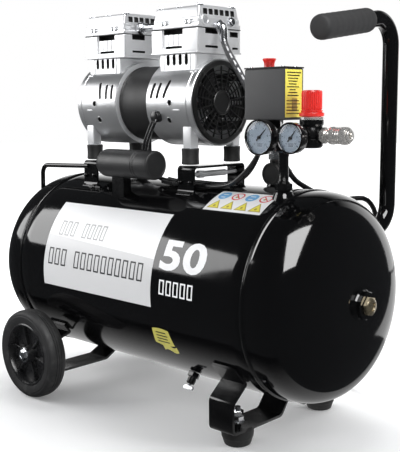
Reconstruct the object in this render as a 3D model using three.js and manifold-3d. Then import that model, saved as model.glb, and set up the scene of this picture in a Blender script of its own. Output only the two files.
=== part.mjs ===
// Twin-head oil-free air compressor on a 50 litre horizontal tank, with wheels, feet and a pull handle.
// Millimetres, +Z up, X along the tank (+X is the outlet and handle end), -Y is the labelled front.
import * as THREE from 'three';
import { mergeVertices } from 'three/addons/utils/BufferGeometryUtils.js';
import Module from 'manifold-3d';

const wasm = await Module();
wasm.setup();

// ---- driving dimensions -------------------------------------------------------------------------
const TANK_R = 156;        // outer radius of the tank
const UNDER = 56;          // room under the tank
const AXIS_H = TANK_R + UNDER;   // tank axis above the floor
const SHELL_HALF = 256;    // half length of the straight shell
const DOME_H = 91.2;       // depth of each pressed end
const DOME_N = 2.94;       // roundness exponent of the pressed ends
const WALL = 3;            // steel wall of the tank
const GAP = 0.3;           // clearance between touching pieces
const PUMP_X = -56.5;      // middle of the motor along X
const CASE_R = 68;         // crankcase drum radius
const CASE_WALL = 6;
const STATOR_HALF = 36;    // half length of the stator band
const STATOR_R = CASE_R - 6.5, COVER_R = CASE_R - 2;
const CASE_LEN = 92;       // length of each crankcase drum
const C0 = STATOR_HALF + GAP, C1 = C0 + CASE_LEN; // ends of a drum from the middle of the motor
const BORE_R = 27.5;       // cylinder bore radius
const THROW = 7;           // eccentric throw (half the stroke)
const CYL_D = C0 + CASE_LEN / 2 + 1.2; // cylinder axis from the middle of the motor
const PLATE_H = 32;        // top of the mounting bridges above the crown of the tank
const BUFFER_H = 24.9;     // height of the rubber buffers
const MOUNT_D = C1 - 11.8, MOUNT_Y = 48.6, MOUNT_R = 12; // buffers from the middle of the motor
const MOUNT_Z0 = TANK_R + PLATE_H, MOUNT_Z1 = MOUNT_Z0 + BUFFER_H;
const MOTOR_H = MOUNT_Z1 + CASE_R + 2.1;   // motor axis above the tank axis
const BLOCK_H = 37.9, HEAD_H = 33.6;
const BLOCK_Z0 = MOTOR_H + CASE_R + 7.5, BLOCK_Z1 = BLOCK_Z0 + BLOCK_H, HEAD_Z1 = BLOCK_Z1 + HEAD_H;
const B0 = C0 - 4.3, B1 = C1 + 6.7;        // ends of a cylinder block
const WHEEL_X = -(SHELL_HALF - 64), WHEEL_R = 75, WHEEL_Z = WHEEL_R - AXIS_H, WHEEL_Y = TANK_R + 24;
const TYRE_HALF = 17, RIM_R = 53;
const FOOT_X = SHELL_HALF - 52.5, FOOT_Y = TANK_R - 54.5, FOOT_H = 29;
const HANDLE_X = SHELL_HALF + 24, HANDLE_Y = TANK_R + 14, HANDLE_R = 12.5, HANDLE_BEND = 38, GRIP_R = 18;
const ROOT_R = TANK_R - 10.573, ROOT_A = Math.atan2(85, 118); // where the handle meets the tank, round its axis
const HANDLE_TOP = TANK_R + 256;
const GRIP_FALL = 8.5;     // fall of the grip towards its free end, degrees
const OUT_Y = -43;         // plane of the outlet pillar and manifold
const OUT_Z = TANK_R + 78; // height of the manifold above the tank axis
const PILLAR_X = SHELL_HALF - 16, SWITCH_X0 = PILLAR_X - 56, SWITCH_X1 = PILLAR_X + 18;
const REG_X = PILLAR_X + 48, REG_R = 16;
const CHECK_X = SHELL_HALF - 86, CHECK_Y = 24, CHECK_Z = TANK_R + 18;
const CORD_R = 4;          // mains lead radius
const COIL_X = SHELL_HALF - 196, COIL_Y = TANK_R + 118, COIL_R = 40, COIL_T = 8;
const SHIFT_X = 0.2 - 9.3;      // brings the middle of the whole object to X = 0

// ---- materials ----------------------------------------------------------------------------------
const paint = (hex, metalness, roughness) =>
  new THREE.MeshStandardMaterial({ color: hex, metalness, roughness });
const MAT = {
  tank_black: paint(0x0d0d0e, 0.3, 0.18),
  cast_alloy: paint(0xd9dbdd, 0.9, 0.35),
  black_plastic: paint(0x1b1b1d, 0.0, 0.55),
  grey_plastic: paint(0x46474a, 0.0, 0.5),
  red_plastic: paint(0xd8281f, 0.0, 0.35),
  rubber: paint(0x202022, 0.0, 0.85),
  tyre: paint(0x161617, 0.0, 0.8),
  zinc_steel: paint(0xb9bcc0, 0.9, 0.3),
  chrome: paint(0xe6e8ea, 1.0, 0.08),
  brass: paint(0xc4a050, 0.9, 0.3),
  dial: paint(0x7f95a6, 0.1, 0.4),
  black_steel: paint(0x121213, 0.4, 0.3),
  lead: paint(0x19191b, 0.0, 0.6),
};

// ---- solid helpers ------------------------------------------------------------------------------
function solid(g) {
  let b = new THREE.BufferGeometry();
  const src = g.index ? g.toNonIndexed() : g;
  b.setAttribute('position', src.attributes.position.clone());
  b = mergeVertices(b, 1e-4);
  const id = b.index.array, tri = [];
  for (let i = 0; i < id.length; i += 3) {
    const [p, q, r] = [id[i], id[i + 1], id[i + 2]];
    if (p !== q && q !== r && p !== r) tri.push(p, q, r);
  }
  const make = (t) => new wasm.Manifold(new wasm.Mesh({
    numProp: 3, vertProperties: new Float32Array(b.attributes.position.array),
    triVerts: new Uint32Array(t),
  }));
  const m = make(tri);
  if (m.volume() > 0) return m;
  const flipped = [];
  for (let i = 0; i < tri.length; i += 3) flipped.push(tri[i], tri[i + 2], tri[i + 1]);
  return make(flipped);
}
const join = (...list) => list.flat().reduce((a, b) => a.add(b));
const cut = (a, ...list) => list.flat().reduce((m, b) => m.subtract(b), a);

const box = (x0, x1, y0, y1, z0, z1) =>
  solid(new THREE.BoxGeometry(x1 - x0, y1 - y0, z1 - z0)
    .translate((x0 + x1) / 2, (y0 + y1) / 2, (z0 + z1) / 2));

// turns a profile of [radius, position along the axis] about an axis through (x, y, z)
function turned(profile, axis, at, seg = 24, phase = 0) {
  const g = new THREE.LatheGeometry(profile.map(([r, t]) => new THREE.Vector2(r, t)), seg);
  g.rotateY(phase);
  if (axis === 'x') g.rotateZ(-Math.PI / 2);
  if (axis === 'z') g.rotateX(Math.PI / 2);
  return solid(g.translate(...at));
}
const rod = (axis, r, t0, t1, at, seg = 16, phase = 0) =>
  turned([[0, t0], [r, t0], [r, t1], [0, t1]], axis, at, seg, phase);
const ring = (axis, r0, r1, t0, t1, at, seg = 24) =>
  turned([[r0, t0], [r1, t0], [r1, t1], [r0, t1], [r0, t0]], axis, at, seg);
const hex = (axis, flats, t0, t1, at) => rod(axis, flats / Math.sqrt(3), t0, t1, at, 6);

// closed outline in (Y, Z) pushed along X
function prism(outline, x0, x1) {
  const s = new THREE.Shape(outline.map(([a, b]) => new THREE.Vector2(a, b)));
  const g = new THREE.ExtrudeGeometry(s, { depth: x1 - x0, bevelEnabled: false });
  g.applyMatrix4(new THREE.Matrix4().makeBasis(
    new THREE.Vector3(0, 1, 0), new THREE.Vector3(0, 0, 1), new THREE.Vector3(1, 0, 0)));
  return solid(g.translate(x0, 0, 0));
}
// outline of a bent strip: an open line given a thickness on its left side
function strip(line, t) {
  const n = line.length, far = [];
  for (let i = 0; i < n; i++) {
    const a = line[Math.max(i - 1, 0)], b = line[i], c = line[Math.min(i + 1, n - 1)];
    const unit = (p, q) => {
      const l = Math.hypot(q[0] - p[0], q[1] - p[1]);
      return [-(q[1] - p[1]) / l, (q[0] - p[0]) / l];
    };
    const m = i === 0 ? unit(b, c) : unit(a, b), k = i === n - 1 ? unit(a, b) : unit(b, c);
    const d = 1 + m[0] * k[0] + m[1] * k[1];
    far.push([b[0] + t * (m[0] + k[0]) / d, b[1] + t * (m[1] + k[1]) / d]);
  }
  return line.concat(far.reverse());
}
// points of a line through corners, each corner rounded to a radius
function rounded(corners, radii, perArc = 8) {
  const out = [corners[0].clone()];
  for (let i = 1; i < corners.length - 1; i++) {
    const c = corners[i], a = corners[i - 1].clone().sub(c).normalize();
    const b = corners[i + 1].clone().sub(c).normalize();
    const half = a.angleTo(b) / 2, r = radii[i - 1];
    const mid = a.clone().add(b).normalize().multiplyScalar(r / Math.sin(half)).add(c);
    const p = a.clone().multiplyScalar(r / Math.tan(half)).add(c).sub(mid);
    const q = b.clone().multiplyScalar(r / Math.tan(half)).add(c).sub(mid);
    const w = p.angleTo(q);
    for (let k = 0; k <= perArc; k++) {
      const f = k / perArc;
      out.push(p.clone().multiplyScalar(Math.sin((1 - f) * w) / Math.sin(w))
        .add(q.clone().multiplyScalar(Math.sin(f * w) / Math.sin(w))).add(mid));
    }
  }
  out.push(corners[corners.length - 1].clone());
  // a point close to each end of every long straight keeps the straights straight
  return out.flatMap((p, i) => {
    const q = out[i + 1], l = q ? p.distanceTo(q) : 0;
    return l > 30 ? [p, p.clone().lerp(q, 4 / l), p.clone().lerp(q, 1 - 4 / l)] : [p];
  });
}
const V = (x, y, z) => new THREE.Vector3(x, y, z);
function tube(points, r, steps, sides = 16) {
  const s = new THREE.Shape(Array.from({ length: sides }, (_, i) => new THREE.Vector2(
    r * Math.cos((2 * Math.PI * i) / sides), r * Math.sin((2 * Math.PI * i) / sides))));
  const path = new THREE.CatmullRomCurve3(points, false, 'centripetal');
  return solid(new THREE.ExtrudeGeometry(s, { steps, extrudePath: path, bevelEnabled: false }));
}
// four-cornered block whose top is smaller than its foot
function taper(lo, hi, z0, z1) {
  const g = new THREE.BoxGeometry(1, 1, 1), p = g.attributes.position;
  for (let i = 0; i < p.count; i++) {
    const e = p.getZ(i) > 0 ? hi : lo;
    p.setXYZ(i, p.getX(i) > 0 ? e[1] : e[0], p.getY(i) > 0 ? e[3] : e[2], p.getZ(i) > 0 ? z1 : z0);
  }
  return solid(g);
}

const root = new THREE.Group();
root.name = 'air_compressor';
function part(name, m, material) {
  const o = m.simplify(0.02).getMesh(), g = new THREE.BufferGeometry();
  g.setAttribute('position', new THREE.BufferAttribute(new Float32Array(o.vertProperties), 3));
  g.setIndex(new THREE.BufferAttribute(new Uint32Array(o.triVerts), 1));
  g.translate(SHIFT_X, 0, AXIS_H);
  const flat = g.toNonIndexed();
  flat.computeVertexNormals();
  const mesh = new THREE.Mesh(flat, MAT[material].clone());
  mesh.name = name;
  mesh.material.name = material;
  root.add(mesh);
}

// ---- tank ---------------------------------------------------------------------------------------
// profile of one pressed end, from the shell edge to the middle
function dome(r, h, x0, n = 6) {
  const out = [];
  for (let i = 0; i <= n; i++) {
    const a = (Math.PI / 2) * (i / n), e = 2 / DOME_N;
    const c = i === n ? 0 : Math.pow(Math.cos(a), e);
    out.push([r * c, x0 + h * Math.pow(Math.sin(a), e)]);
  }
  return out;
}
// the whole tank as one plain body, grown by a clearance, for shaping what sits on it
function tankBody(grow) {
  const right = dome(TANK_R + grow, DOME_H + grow, SHELL_HALF + GAP);
  const left = right.map(([r, x]) => [r, -x]).reverse();
  return turned(left.concat(right), 'x', [0, 0, 0], 40);
}
const CLEAR = tankBody(GAP);
const port = (r, x, y, z0, z1) => rod('z', r, z0, z1, [x, y, 0], 18);
const shellCut = rod('x', TANK_R - WALL, -SHELL_HALF - 1, SHELL_HALF + 1, [0, 0, 0], 40);
part('tank_shell', cut(join(
  ring('x', TANK_R - WALL, TANK_R, -SHELL_HALF, SHELL_HALF, [0, 0, 0], 40),
  cut(join(port(13, PILLAR_X, OUT_Y, TANK_R - 26, TANK_R + 1), port(12, CHECK_X, CHECK_Y, TANK_R - 10, TANK_R - 1)), shellCut)),
  port(6, PILLAR_X, OUT_Y, TANK_R - 36, TANK_R + 4), port(5, CHECK_X, CHECK_Y, TANK_R - 20, TANK_R + 4)), 'tank_black');

function tankHead(s, name) {
  const outer = dome(TANK_R, DOME_H, SHELL_HALF + GAP);
  const inner = dome(TANK_R - WALL, DOME_H - WALL, SHELL_HALF + GAP).reverse();
  const lip = TANK_R - WALL - GAP;
  const edge = [[lip - WALL, SHELL_HALF + 6], [lip - WALL, SHELL_HALF - 12],
    [lip, SHELL_HALF - 12], [lip, SHELL_HALF + GAP]];
  const bead = [[TANK_R, SHELL_HALF + GAP], [TANK_R + 1.6, SHELL_HALF + 2.5], [TANK_R - 0.6, SHELL_HALF + 6]];
  const profile = inner.slice(0, -1).concat(edge, bead, outer.slice(1));
  const flip = profile.map(([r, x]) => [r, s * x]);
  let m = turned(s > 0 ? flip : flip.reverse(), 'x', [0, 0, 0], 40);
  if (s > 0) {
    m = cut(join(m, rod('x', 20, SHELL_HALF + DOME_H - 1.2, SHELL_HALF + DOME_H + 10, [0, 0, 0], 20)),
      rod('x', 10, SHELL_HALF + DOME_H - 10, SHELL_HALF + DOME_H + 20, [0, 0, 0], 18));
  } else m = cut(m, rod('x', 6, -SHELL_HALF - DOME_H - 5, -SHELL_HALF - DOME_H + 10, [0, 0, 0], 16));
  part(name, m, 'tank_black');
}
tankHead(1, 'tank_head_outlet_end');
tankHead(-1, 'tank_head_wheel_end');
const PLUG_X = SHELL_HALF + DOME_H + 10 + GAP;
part('tank_end_plug', join(rod('x', 9.7, PLUG_X - 16, PLUG_X + 2, [0, 0, 0], 18),
  hex('x', 26, PLUG_X, PLUG_X + 8, [0, 0, 0])), 'brass');

// drain cock under the front of the tank, standing square to the steel
const DRAIN_X = SHELL_HALF - 152.5, DRAIN_A = 34; // degrees from straight down towards the front
const lean = (m) => m.rotate([-DRAIN_A, 0, 0]).translate([DRAIN_X, 0, 0]);
part('drain_valve_body', lean(cut(join(
  hex('z', 17, -TANK_R - 9, -TANK_R - GAP, [0, 0, 0]), rod('z', 6.5, -TANK_R - 20, -TANK_R - 8, [0, 0, 0], 16)),
  rod('z', 3.3, -TANK_R - 21, -TANK_R - 6, [0, 0, 0], 16))), 'brass');
part('drain_valve_key', lean(join(rod('z', 3, -TANK_R - 24, -TANK_R - 8, [0, 0, 0], 16),
  box(-11, 11, -1.8, 1.8, -TANK_R - 30, -TANK_R - 21))), 'zinc_steel');

// ---- legs, feet and wheels ----------------------------------------------------------------------
const surfaceY = (z) => Math.sqrt(TANK_R * TANK_R - z * z);
for (const [s, side] of [[-1, 'front'], [1, 'rear']]) {
  // strap leg: tab on the tank, slanted shoulder, upright, floor plate and inner arm
  const plate = -AXIS_H + FOOT_H, out = TANK_R - 22;
  const footLine = [[surfaceY(TANK_R - 64) + 3, -(TANK_R - 66)], [surfaceY(TANK_R - 39) + 4, -(TANK_R - 39)],
    [out, -(TANK_R - 15)], [out, plate], [28, plate], [11, -(TANK_R + 4)]];
  const foot = prism(strip(footLine.map(([y, z]) => [s * y, z]), s * -4), FOOT_X - 23, FOOT_X + 23);
  const bolt = rod('z', 5.3, plate - 7, plate + 13, [FOOT_X, s * FOOT_Y, 0], 16);
  part(`foot_leg_${side}`, cut(foot, CLEAR, bolt), 'black_steel');
  part(`rubber_foot_${side}`, join(
    turned([[0, -AXIS_H], [18, -AXIS_H], [20, -AXIS_H + 2], [24.5, -AXIS_H + FOOT_H - 9],
      [24.5, plate - GAP], [5, plate - GAP], [5, plate + 4.6], [0, plate + 4.6]], 'z', [FOOT_X, s * FOOT_Y, 0], 16),
    hex('z', 15, plate + 4.3, plate + 13, [FOOT_X, s * FOOT_Y, 0])), 'rubber');

  const legY = WHEEL_Y - 26, arm = WHEEL_Z - 35;
  const legLine = [[surfaceY(TANK_R - 60) + 3, -(TANK_R - 62)], [surfaceY(TANK_R - 46) + 5, -(TANK_R - 46)],
    [legY, WHEEL_Z + 15], [legY, arm], [38, arm], [13, -(TANK_R + 2)]];
  const leg = prism(strip(legLine.map(([y, z]) => [s * y, z]), s * -4), WHEEL_X - 23, WHEEL_X + 23);
  part(`wheel_leg_${side}`, cut(leg, CLEAR,
    rod('y', 6.3, s > 0 ? WHEEL_Y - 40 : 10 - WHEEL_Y, s > 0 ? WHEEL_Y - 10 : 40 - WHEEL_Y, [WHEEL_X, 0, WHEEL_Z], 16)), 'black_steel');

  const tyre = [[RIM_R + GAP, -15], [WHEEL_R - 8, -TYRE_HALF], [WHEEL_R - 2, -TYRE_HALF + 3],
    [WHEEL_R, -TYRE_HALF + 8], [WHEEL_R, TYRE_HALF - 8], [WHEEL_R - 2, TYRE_HALF - 3], [WHEEL_R - 8, TYRE_HALF],
    [RIM_R + GAP, 15], [RIM_R + GAP, -15]];
  part(`tyre_${side}`, turned(tyre, 'y', [WHEEL_X, s * WHEEL_Y, WHEEL_Z], 30), 'tyre');
  const at = [WHEEL_X, s * WHEEL_Y, WHEEL_Z];
  const rim = join(ring('y', RIM_R - 6, RIM_R, -15, 15, at, 30), ring('y', 6.4, 14, -17.5, 20, at, 15),
    ring('y', 12, RIM_R - 4, -2, 2, at, 30));
  const ribs = Array.from({ length: 6 }, (_, i) => box(12, RIM_R - 5, -7, 7, -2, 2)
    .rotate([0, i * 60 + 12, 0]).translate(at));
  const whole = join(rim, ribs);
  part(`wheel_rim_${side}`, s > 0 ? whole.mirror([0, 1, 0]).translate([0, 2 * at[1], 0]) : whole, 'black_plastic');
  const y = (a, b) => (s > 0 ? [a, b] : [-b, -a]);
  part(`axle_bolt_${side}`, join(
    rod('y', 6, ...y(WHEEL_Y - 40, WHEEL_Y + 20), [WHEEL_X, 0, WHEEL_Z], 16),
    hex('y', 17, ...y(WHEEL_Y + 17.8, WHEEL_Y + 24), [WHEEL_X, 0, WHEEL_Z]),
    hex('y', 17, ...y(legY - 12, legY - 4 - GAP), [WHEEL_X, 0, WHEEL_Z])), 'zinc_steel');
}

// ---- handle -------------------------------------------------------------------------------------
const fall = (GRIP_FALL * Math.PI) / 180, rootZ = ROOT_R * Math.sin(ROOT_A);
const alongGrip = (d) => V(HANDLE_X, HANDLE_Y - d * Math.cos(fall), HANDLE_TOP - d * Math.sin(fall));
const handleLine = rounded([V(HANDLE_X, ROOT_R * Math.cos(ROOT_A), rootZ), V(HANDLE_X, HANDLE_Y, rootZ), V(HANDLE_X, HANDLE_Y, HANDLE_TOP),
  alongGrip(184)], [40, HANDLE_BEND]);
part('handle_tube', cut(tube(handleLine, HANDLE_R, 30, 14), CLEAR), 'black_steel');
const gripLength = 124, gripEnd = alongGrip(191);
const sleeve = turned([[0, 5.5], [HANDLE_R + GAP, 5.5], [HANDLE_R + GAP, gripLength], [GRIP_R - 2, gripLength],
  [GRIP_R, gripLength - 3], [GRIP_R, 3], [GRIP_R - 2, 0], [0, 0]], 'y', [0, 0, 0], 18);
part('handle_grip', sleeve.rotate([GRIP_FALL, 0, 0]).translate([gripEnd.x, gripEnd.y, gripEnd.z]), 'rubber');

// ---- motor and pump mountings -------------------------------------------------------------------
for (const [s, side] of [[1, 'outlet_end'], [-1, 'wheel_end']]) {
  const x = PUMP_X + s * MOUNT_D;
  let b = join(box(x - 15, x + 15, -62, 62, MOUNT_Z0 - 4 - GAP, MOUNT_Z0 - GAP),
    box(x - 15, x + 15, -62, -58, TANK_R - 26, MOUNT_Z0 - 2), box(x - 15, x + 15, 58, 62, TANK_R - 26, MOUNT_Z0 - 2));
  if (s < 0) { // rod to hang the lead on, from the bracket to the tank end
    b = join(b, tube(rounded([V(x - 5, -60, MOUNT_Z0 - 12), V(-SHELL_HALF - 56, -60, MOUNT_Z0 - 16), V(-SHELL_HALF - 58, -60, TANK_R - 38)], [16], 6), 4, 12, 8));
  }
  part(`mount_bracket_${side}`, cut(b, CLEAR), 'black_steel');
  for (const [t, face] of [[-1, 'front'], [1, 'rear']]) {
    part(`rubber_mount_${side}_${face}`, turned([[0, MOUNT_Z0], [MOUNT_R, MOUNT_Z0],
      [MOUNT_R - 1.5, (MOUNT_Z0 + MOUNT_Z1) / 2], [MOUNT_R, MOUNT_Z1], [0, MOUNT_Z1]],
    'z', [x, t * MOUNT_Y, 0], 16), 'rubber');
  }
}

// ---- motor, crankcases, cylinders and heads -----------------------------------------------------
const M = [0, 0, MOTOR_H];
part('stator_housing', ring('x', 41, STATOR_R, PUMP_X - STATOR_HALF, PUMP_X + STATOR_HALF, M, 36), 'black_plastic');
// everything below is drawn for the outlet end and turned half round for the wheel end
const place = (m, s) => (s > 0 ? m : m.mirror([1, 0, 0])).translate([PUMP_X, 0, 0]);
const drumBore = rod('x', CASE_R - CASE_WALL, C0 + CASE_WALL, C1 + 1, M, 30);
const crankcase = () => {
  let m = join(ring('x', 6.5, CASE_R, C0, C1, M, 30),
    box(C0 + 11.7, C1 - GAP, -46, 46, MOTOR_H + 20, BLOCK_Z0 - GAP),
    box(MOUNT_D - 12, C1, -60, -37, MOUNT_Z1 + GAP, MOTOR_H - 33), box(MOUNT_D - 12, C1, 37, 60, MOUNT_Z1 + GAP, MOTOR_H - 33));
  m = cut(m, drumBore, rod('z', BORE_R + 1, MOTOR_H, BLOCK_Z0 + 1, [CYL_D, 0, 0], 28));
  const slots = [];
  for (const y of [-1, 1]) {
    for (const d of [C0 + 9.7, C0 + 18.7, C0 + 27.7]) {
      slots.push(box(d, d + 4, y < 0 ? -CASE_R - 2 : CASE_R - 18, y < 0 ? 18 - CASE_R : CASE_R + 2, MOTOR_H + 8, MOTOR_H + 32));
    }
    for (let k = 0; k < 4; k++) {
      slots.push(box(CYL_D - 23.5 + 16 * k, CYL_D - 16.5 + 16 * k, y < 0 ? -50 : 39, y < 0 ? -39 : 50, BLOCK_Z0 - 20.5, BLOCK_Z0 - 3.5));
    }
  }
  return cut(m, slots);
};
const block = () => {
  let m = cut(box(B0, B1, -51, 51, BLOCK_Z0, BLOCK_Z1),
    rod('z', BORE_R, BLOCK_Z0 - 1, BLOCK_Z1 + 1, [CYL_D, 0, 0], 28));
  const pockets = [box(B1 - 1, B1 + 5, -37, -7, BLOCK_Z1 - 6.4, BLOCK_Z1 + 3.6),
    box(B1 - 1, B1 + 5, 24, 43, BLOCK_Z1 - 10.4, BLOCK_Z1 + 3.6), box(B1 - 1, B1 + 5, -37, -7, BLOCK_Z0 + 1.5, BLOCK_Z0 + 4.5)];
  for (const y of [-1, 1]) {
    const side = (a, b, deep, z0, z1) => pockets.push(box(a, b, y < 0 ? -60 : deep, y < 0 ? -deep : 60, z0, z1));
    side(CYL_D - 25.5, CYL_D + 22.5, 46, BLOCK_Z1 - 6.4, BLOCK_Z1 + 3.6);
    side(CYL_D - 21.5, CYL_D + 20.5, 48, BLOCK_Z0 + 2.5, BLOCK_Z0 + 5.5);
    side(B0 + 4, B1 - 3, 48.5, BLOCK_Z0 + 12.5, BLOCK_Z0 + 15);
    side(B0 + 4, B1 - 3, 48.5, BLOCK_Z0 + 20.5, BLOCK_Z0 + 23);
  }
  return cut(m, pockets);
};
const head = (s) => {
  const h0 = B0 + 2, h1 = B1 + 0.5, waist = HEAD_Z1 - 17;
  const lower = box(h0, h1, -49, 49, BLOCK_Z1 + GAP, waist);
  const upper = taper([h0, h1, -49, 49], [h0 + 4, h1 - 1.5, -43, 43], waist - 0.1, HEAD_Z1);
  let m = join(lower, upper);
  const cuts = [rod('z', BORE_R, BLOCK_Z1, BLOCK_Z1 + 7, [CYL_D, 0, 0], 28)];
  for (let k = 0; k < 6; k++) cuts.push(box(h1 - 7.5, h1 + 4.5, -36 + 12.5 * k, -27.5 + 12.5 * k, HEAD_Z1 - 13, HEAD_Z1 - 5));
  for (const [a, b] of [[h0 + 8, -42], [h0 + 8, 42], [h1 - 8.5, -42], [h1 - 8.5, 42]]) {
    m = join(m, hex('z', 9, HEAD_Z1 - 10, HEAD_Z1 + 3, [a, b * 0.86, 0]));
  }
  m = cut(m, cuts);
  if (s > 0) m = join(m, rod('x', 5, h1 - 5.5, h1 + 7.5, [0, -32, HEAD_Z1 - 22], 16), hex('x', 13, h1 - 1.5, h1 + 4.5, [0, 24, HEAD_Z1 - 22]));
  return m;
};
// grille with rings of slots between spokes
const grille = () => {
  const arc = (r, a, b, n) => Array.from({ length: n + 1 }, (_, i) => new THREE.Vector2(
    r * Math.cos(a + ((b - a) * i) / n), r * Math.sin(a + ((b - a) * i) / n)));
  const outline = new THREE.Shape(arc(COVER_R, 0, 2 * Math.PI, 36).slice(0, 36));
  for (const [r0, r1, n] of [[COVER_R - 46, COVER_R - 37, 2], [COVER_R - 33, COVER_R - 24, 2], [COVER_R - 20, COVER_R - 9, 3]]) {
    for (let k = 0; k < 6; k++) {
      const a = ((k + 0.1) * Math.PI) / 3, b = ((k + 0.9) * Math.PI) / 3;
      outline.holes.push(new THREE.Path(arc(r1, a, b, n).concat(arc(r0, b, a, n))));
    }
  }
  const g = new THREE.ExtrudeGeometry(outline, { depth: 3, bevelEnabled: false });
  g.applyMatrix4(new THREE.Matrix4().makeBasis(
    new THREE.Vector3(0, 1, 0), new THREE.Vector3(0, 0, 1), new THREE.Vector3(1, 0, 0)));
  return join(ring('x', COVER_R - 5, COVER_R, C1 + GAP, C1 + 9, M, 36), solid(g.translate(C1 + 8, 0, MOTOR_H)),
    rod('x', 17, C1 + 7, C1 + 12.5, M, 18));
};
const fan = () => {
  let m = ring('x', 6.3, 15, C1 - 22.3, C1 - 9.3, M, 18);
  for (let k = 0; k < 7; k++) {
    const blade = box(-8, 8, -1.2, 1.2, 12, COVER_R - 12).rotate([0, 0, 38]).rotate([(k * 360) / 7, 0, 0]);
    m = join(m, blade.translate([C1 - 15.8, 0, MOTOR_H]));
  }
  return m;
};
const piston = () => {
  const z = BLOCK_Z0 + 13.5;
  return cut(join(rod('z', BORE_R - 0.4, z, z + 8, [CYL_D, 0, 0], 28), box(CYL_D - 4.5, CYL_D + 4.5, -8, 8, MOTOR_H + 29, z + 1),
    rod('x', 32, CYL_D - 4.5, CYL_D + 4.5, M, 18)), rod('x', 27, CYL_D - 6, CYL_D + 6, M, 18));
};
for (const [s, side] of [[1, 'outlet_end'], [-1, 'wheel_end']]) {
  part(`crankcase_${side}`, place(crankcase(), s), 'cast_alloy');
  part(`cylinder_block_${side}`, place(block(), s), 'cast_alloy');
  part(`cylinder_head_${side}`, place(head(s), s), 'cast_alloy');
  part(`fan_cover_${side}`, place(grille(), s), 'black_plastic');
  part(`cooling_fan_${side}`, place(fan(), s), 'grey_plastic');
  part(`piston_${side}`, place(piston(), s), 'cast_alloy');
}
const eccentric = (s) => rod('x', 12, s * CYL_D - 6, s * CYL_D + 6, [PUMP_X, 0, MOTOR_H + s * THROW], 18);
part('motor_shaft', join(rod('x', 6, PUMP_X - C1 + 4.3, PUMP_X + C1 - 4.3, M, 16),
  rod('x', 40, PUMP_X - 32, PUMP_X + 32, M, 28), eccentric(1), eccentric(-1)), 'zinc_steel');

// pipe between the two heads, with a nut at each end
const LINK_Y = -14, LINK_Z = HEAD_Z1 - 23, LINK_X = B0 + 2 - GAP;
part('head_link_pipe', join(rod('x', 5.5, PUMP_X - LINK_X, PUMP_X + LINK_X, [0, LINK_Y, LINK_Z], 16),
  hex('x', 17, PUMP_X - LINK_X, PUMP_X - LINK_X + 9, [0, LINK_Y, LINK_Z]),
  hex('x', 17, PUMP_X + LINK_X - 9, PUMP_X + LINK_X, [0, LINK_Y, LINK_Z])), 'zinc_steel');
// discharge hose from the outlet head to the check valve on the tank
const HEAD_X = PUMP_X + B1 + 0.5 + GAP, HOSE_X = HEAD_X + 13.7;
// the bend of the hose is drawn for a fall of 184 over a run of 77, and stretched to the real ones
const hose = (x, y, z) => V(HOSE_X + ((x - 93) * (CHECK_X - HOSE_X)) / 77, y,
  TANK_R + 44 + ((z - 200) * (HEAD_Z1 - TANK_R - 90)) / 184);
part('discharge_hose', join(hex('x', 16, HEAD_X, HEAD_X + 9, [0, -7, HEAD_Z1 - 30]),
  tube(rounded([V(HEAD_X + 3, -7, HEAD_Z1 - 30), V(HOSE_X, -7, HEAD_Z1 - 30), V(HOSE_X, -7, HEAD_Z1 - 46)], [7], 5), 6.5, 6, 10),
  tube([hose(93, -7, 388), hose(93.5, -7, 378), hose(99, -5, 362), hose(112, -2, 340), hose(127, 3, 313), hose(150, 12, 264),
    hose(165, 21, 226), hose(170, CHECK_Y, 208), hose(170, CHECK_Y, 200)], 5.5, 22, 10),
  hex('z', 18, TANK_R + 40, TANK_R + 50, [CHECK_X, CHECK_Y, 0])), 'zinc_steel');
part('check_valve', cut(join(rod('z', 9, TANK_R - 1 + GAP, CHECK_Z - 4, [CHECK_X, CHECK_Y, 0], 20),
  rod('z', 8, CHECK_Z + 6, TANK_R + 40 - GAP, [CHECK_X, CHECK_Y, 0], 20),
  rod('y', 17.5, CHECK_Y - 11, CHECK_Y + 5, [CHECK_X, 0, CHECK_Z], 30),
  turned([[0, 4], [14, 4], [13, 12], [7, 36], [0, 36]], 'y', [CHECK_X, CHECK_Y, CHECK_Z], 24)),
  rod('z', 4, TANK_R - 6, TANK_R + 44, [CHECK_X, CHECK_Y, 0], 16)), 'black_plastic');

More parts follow.
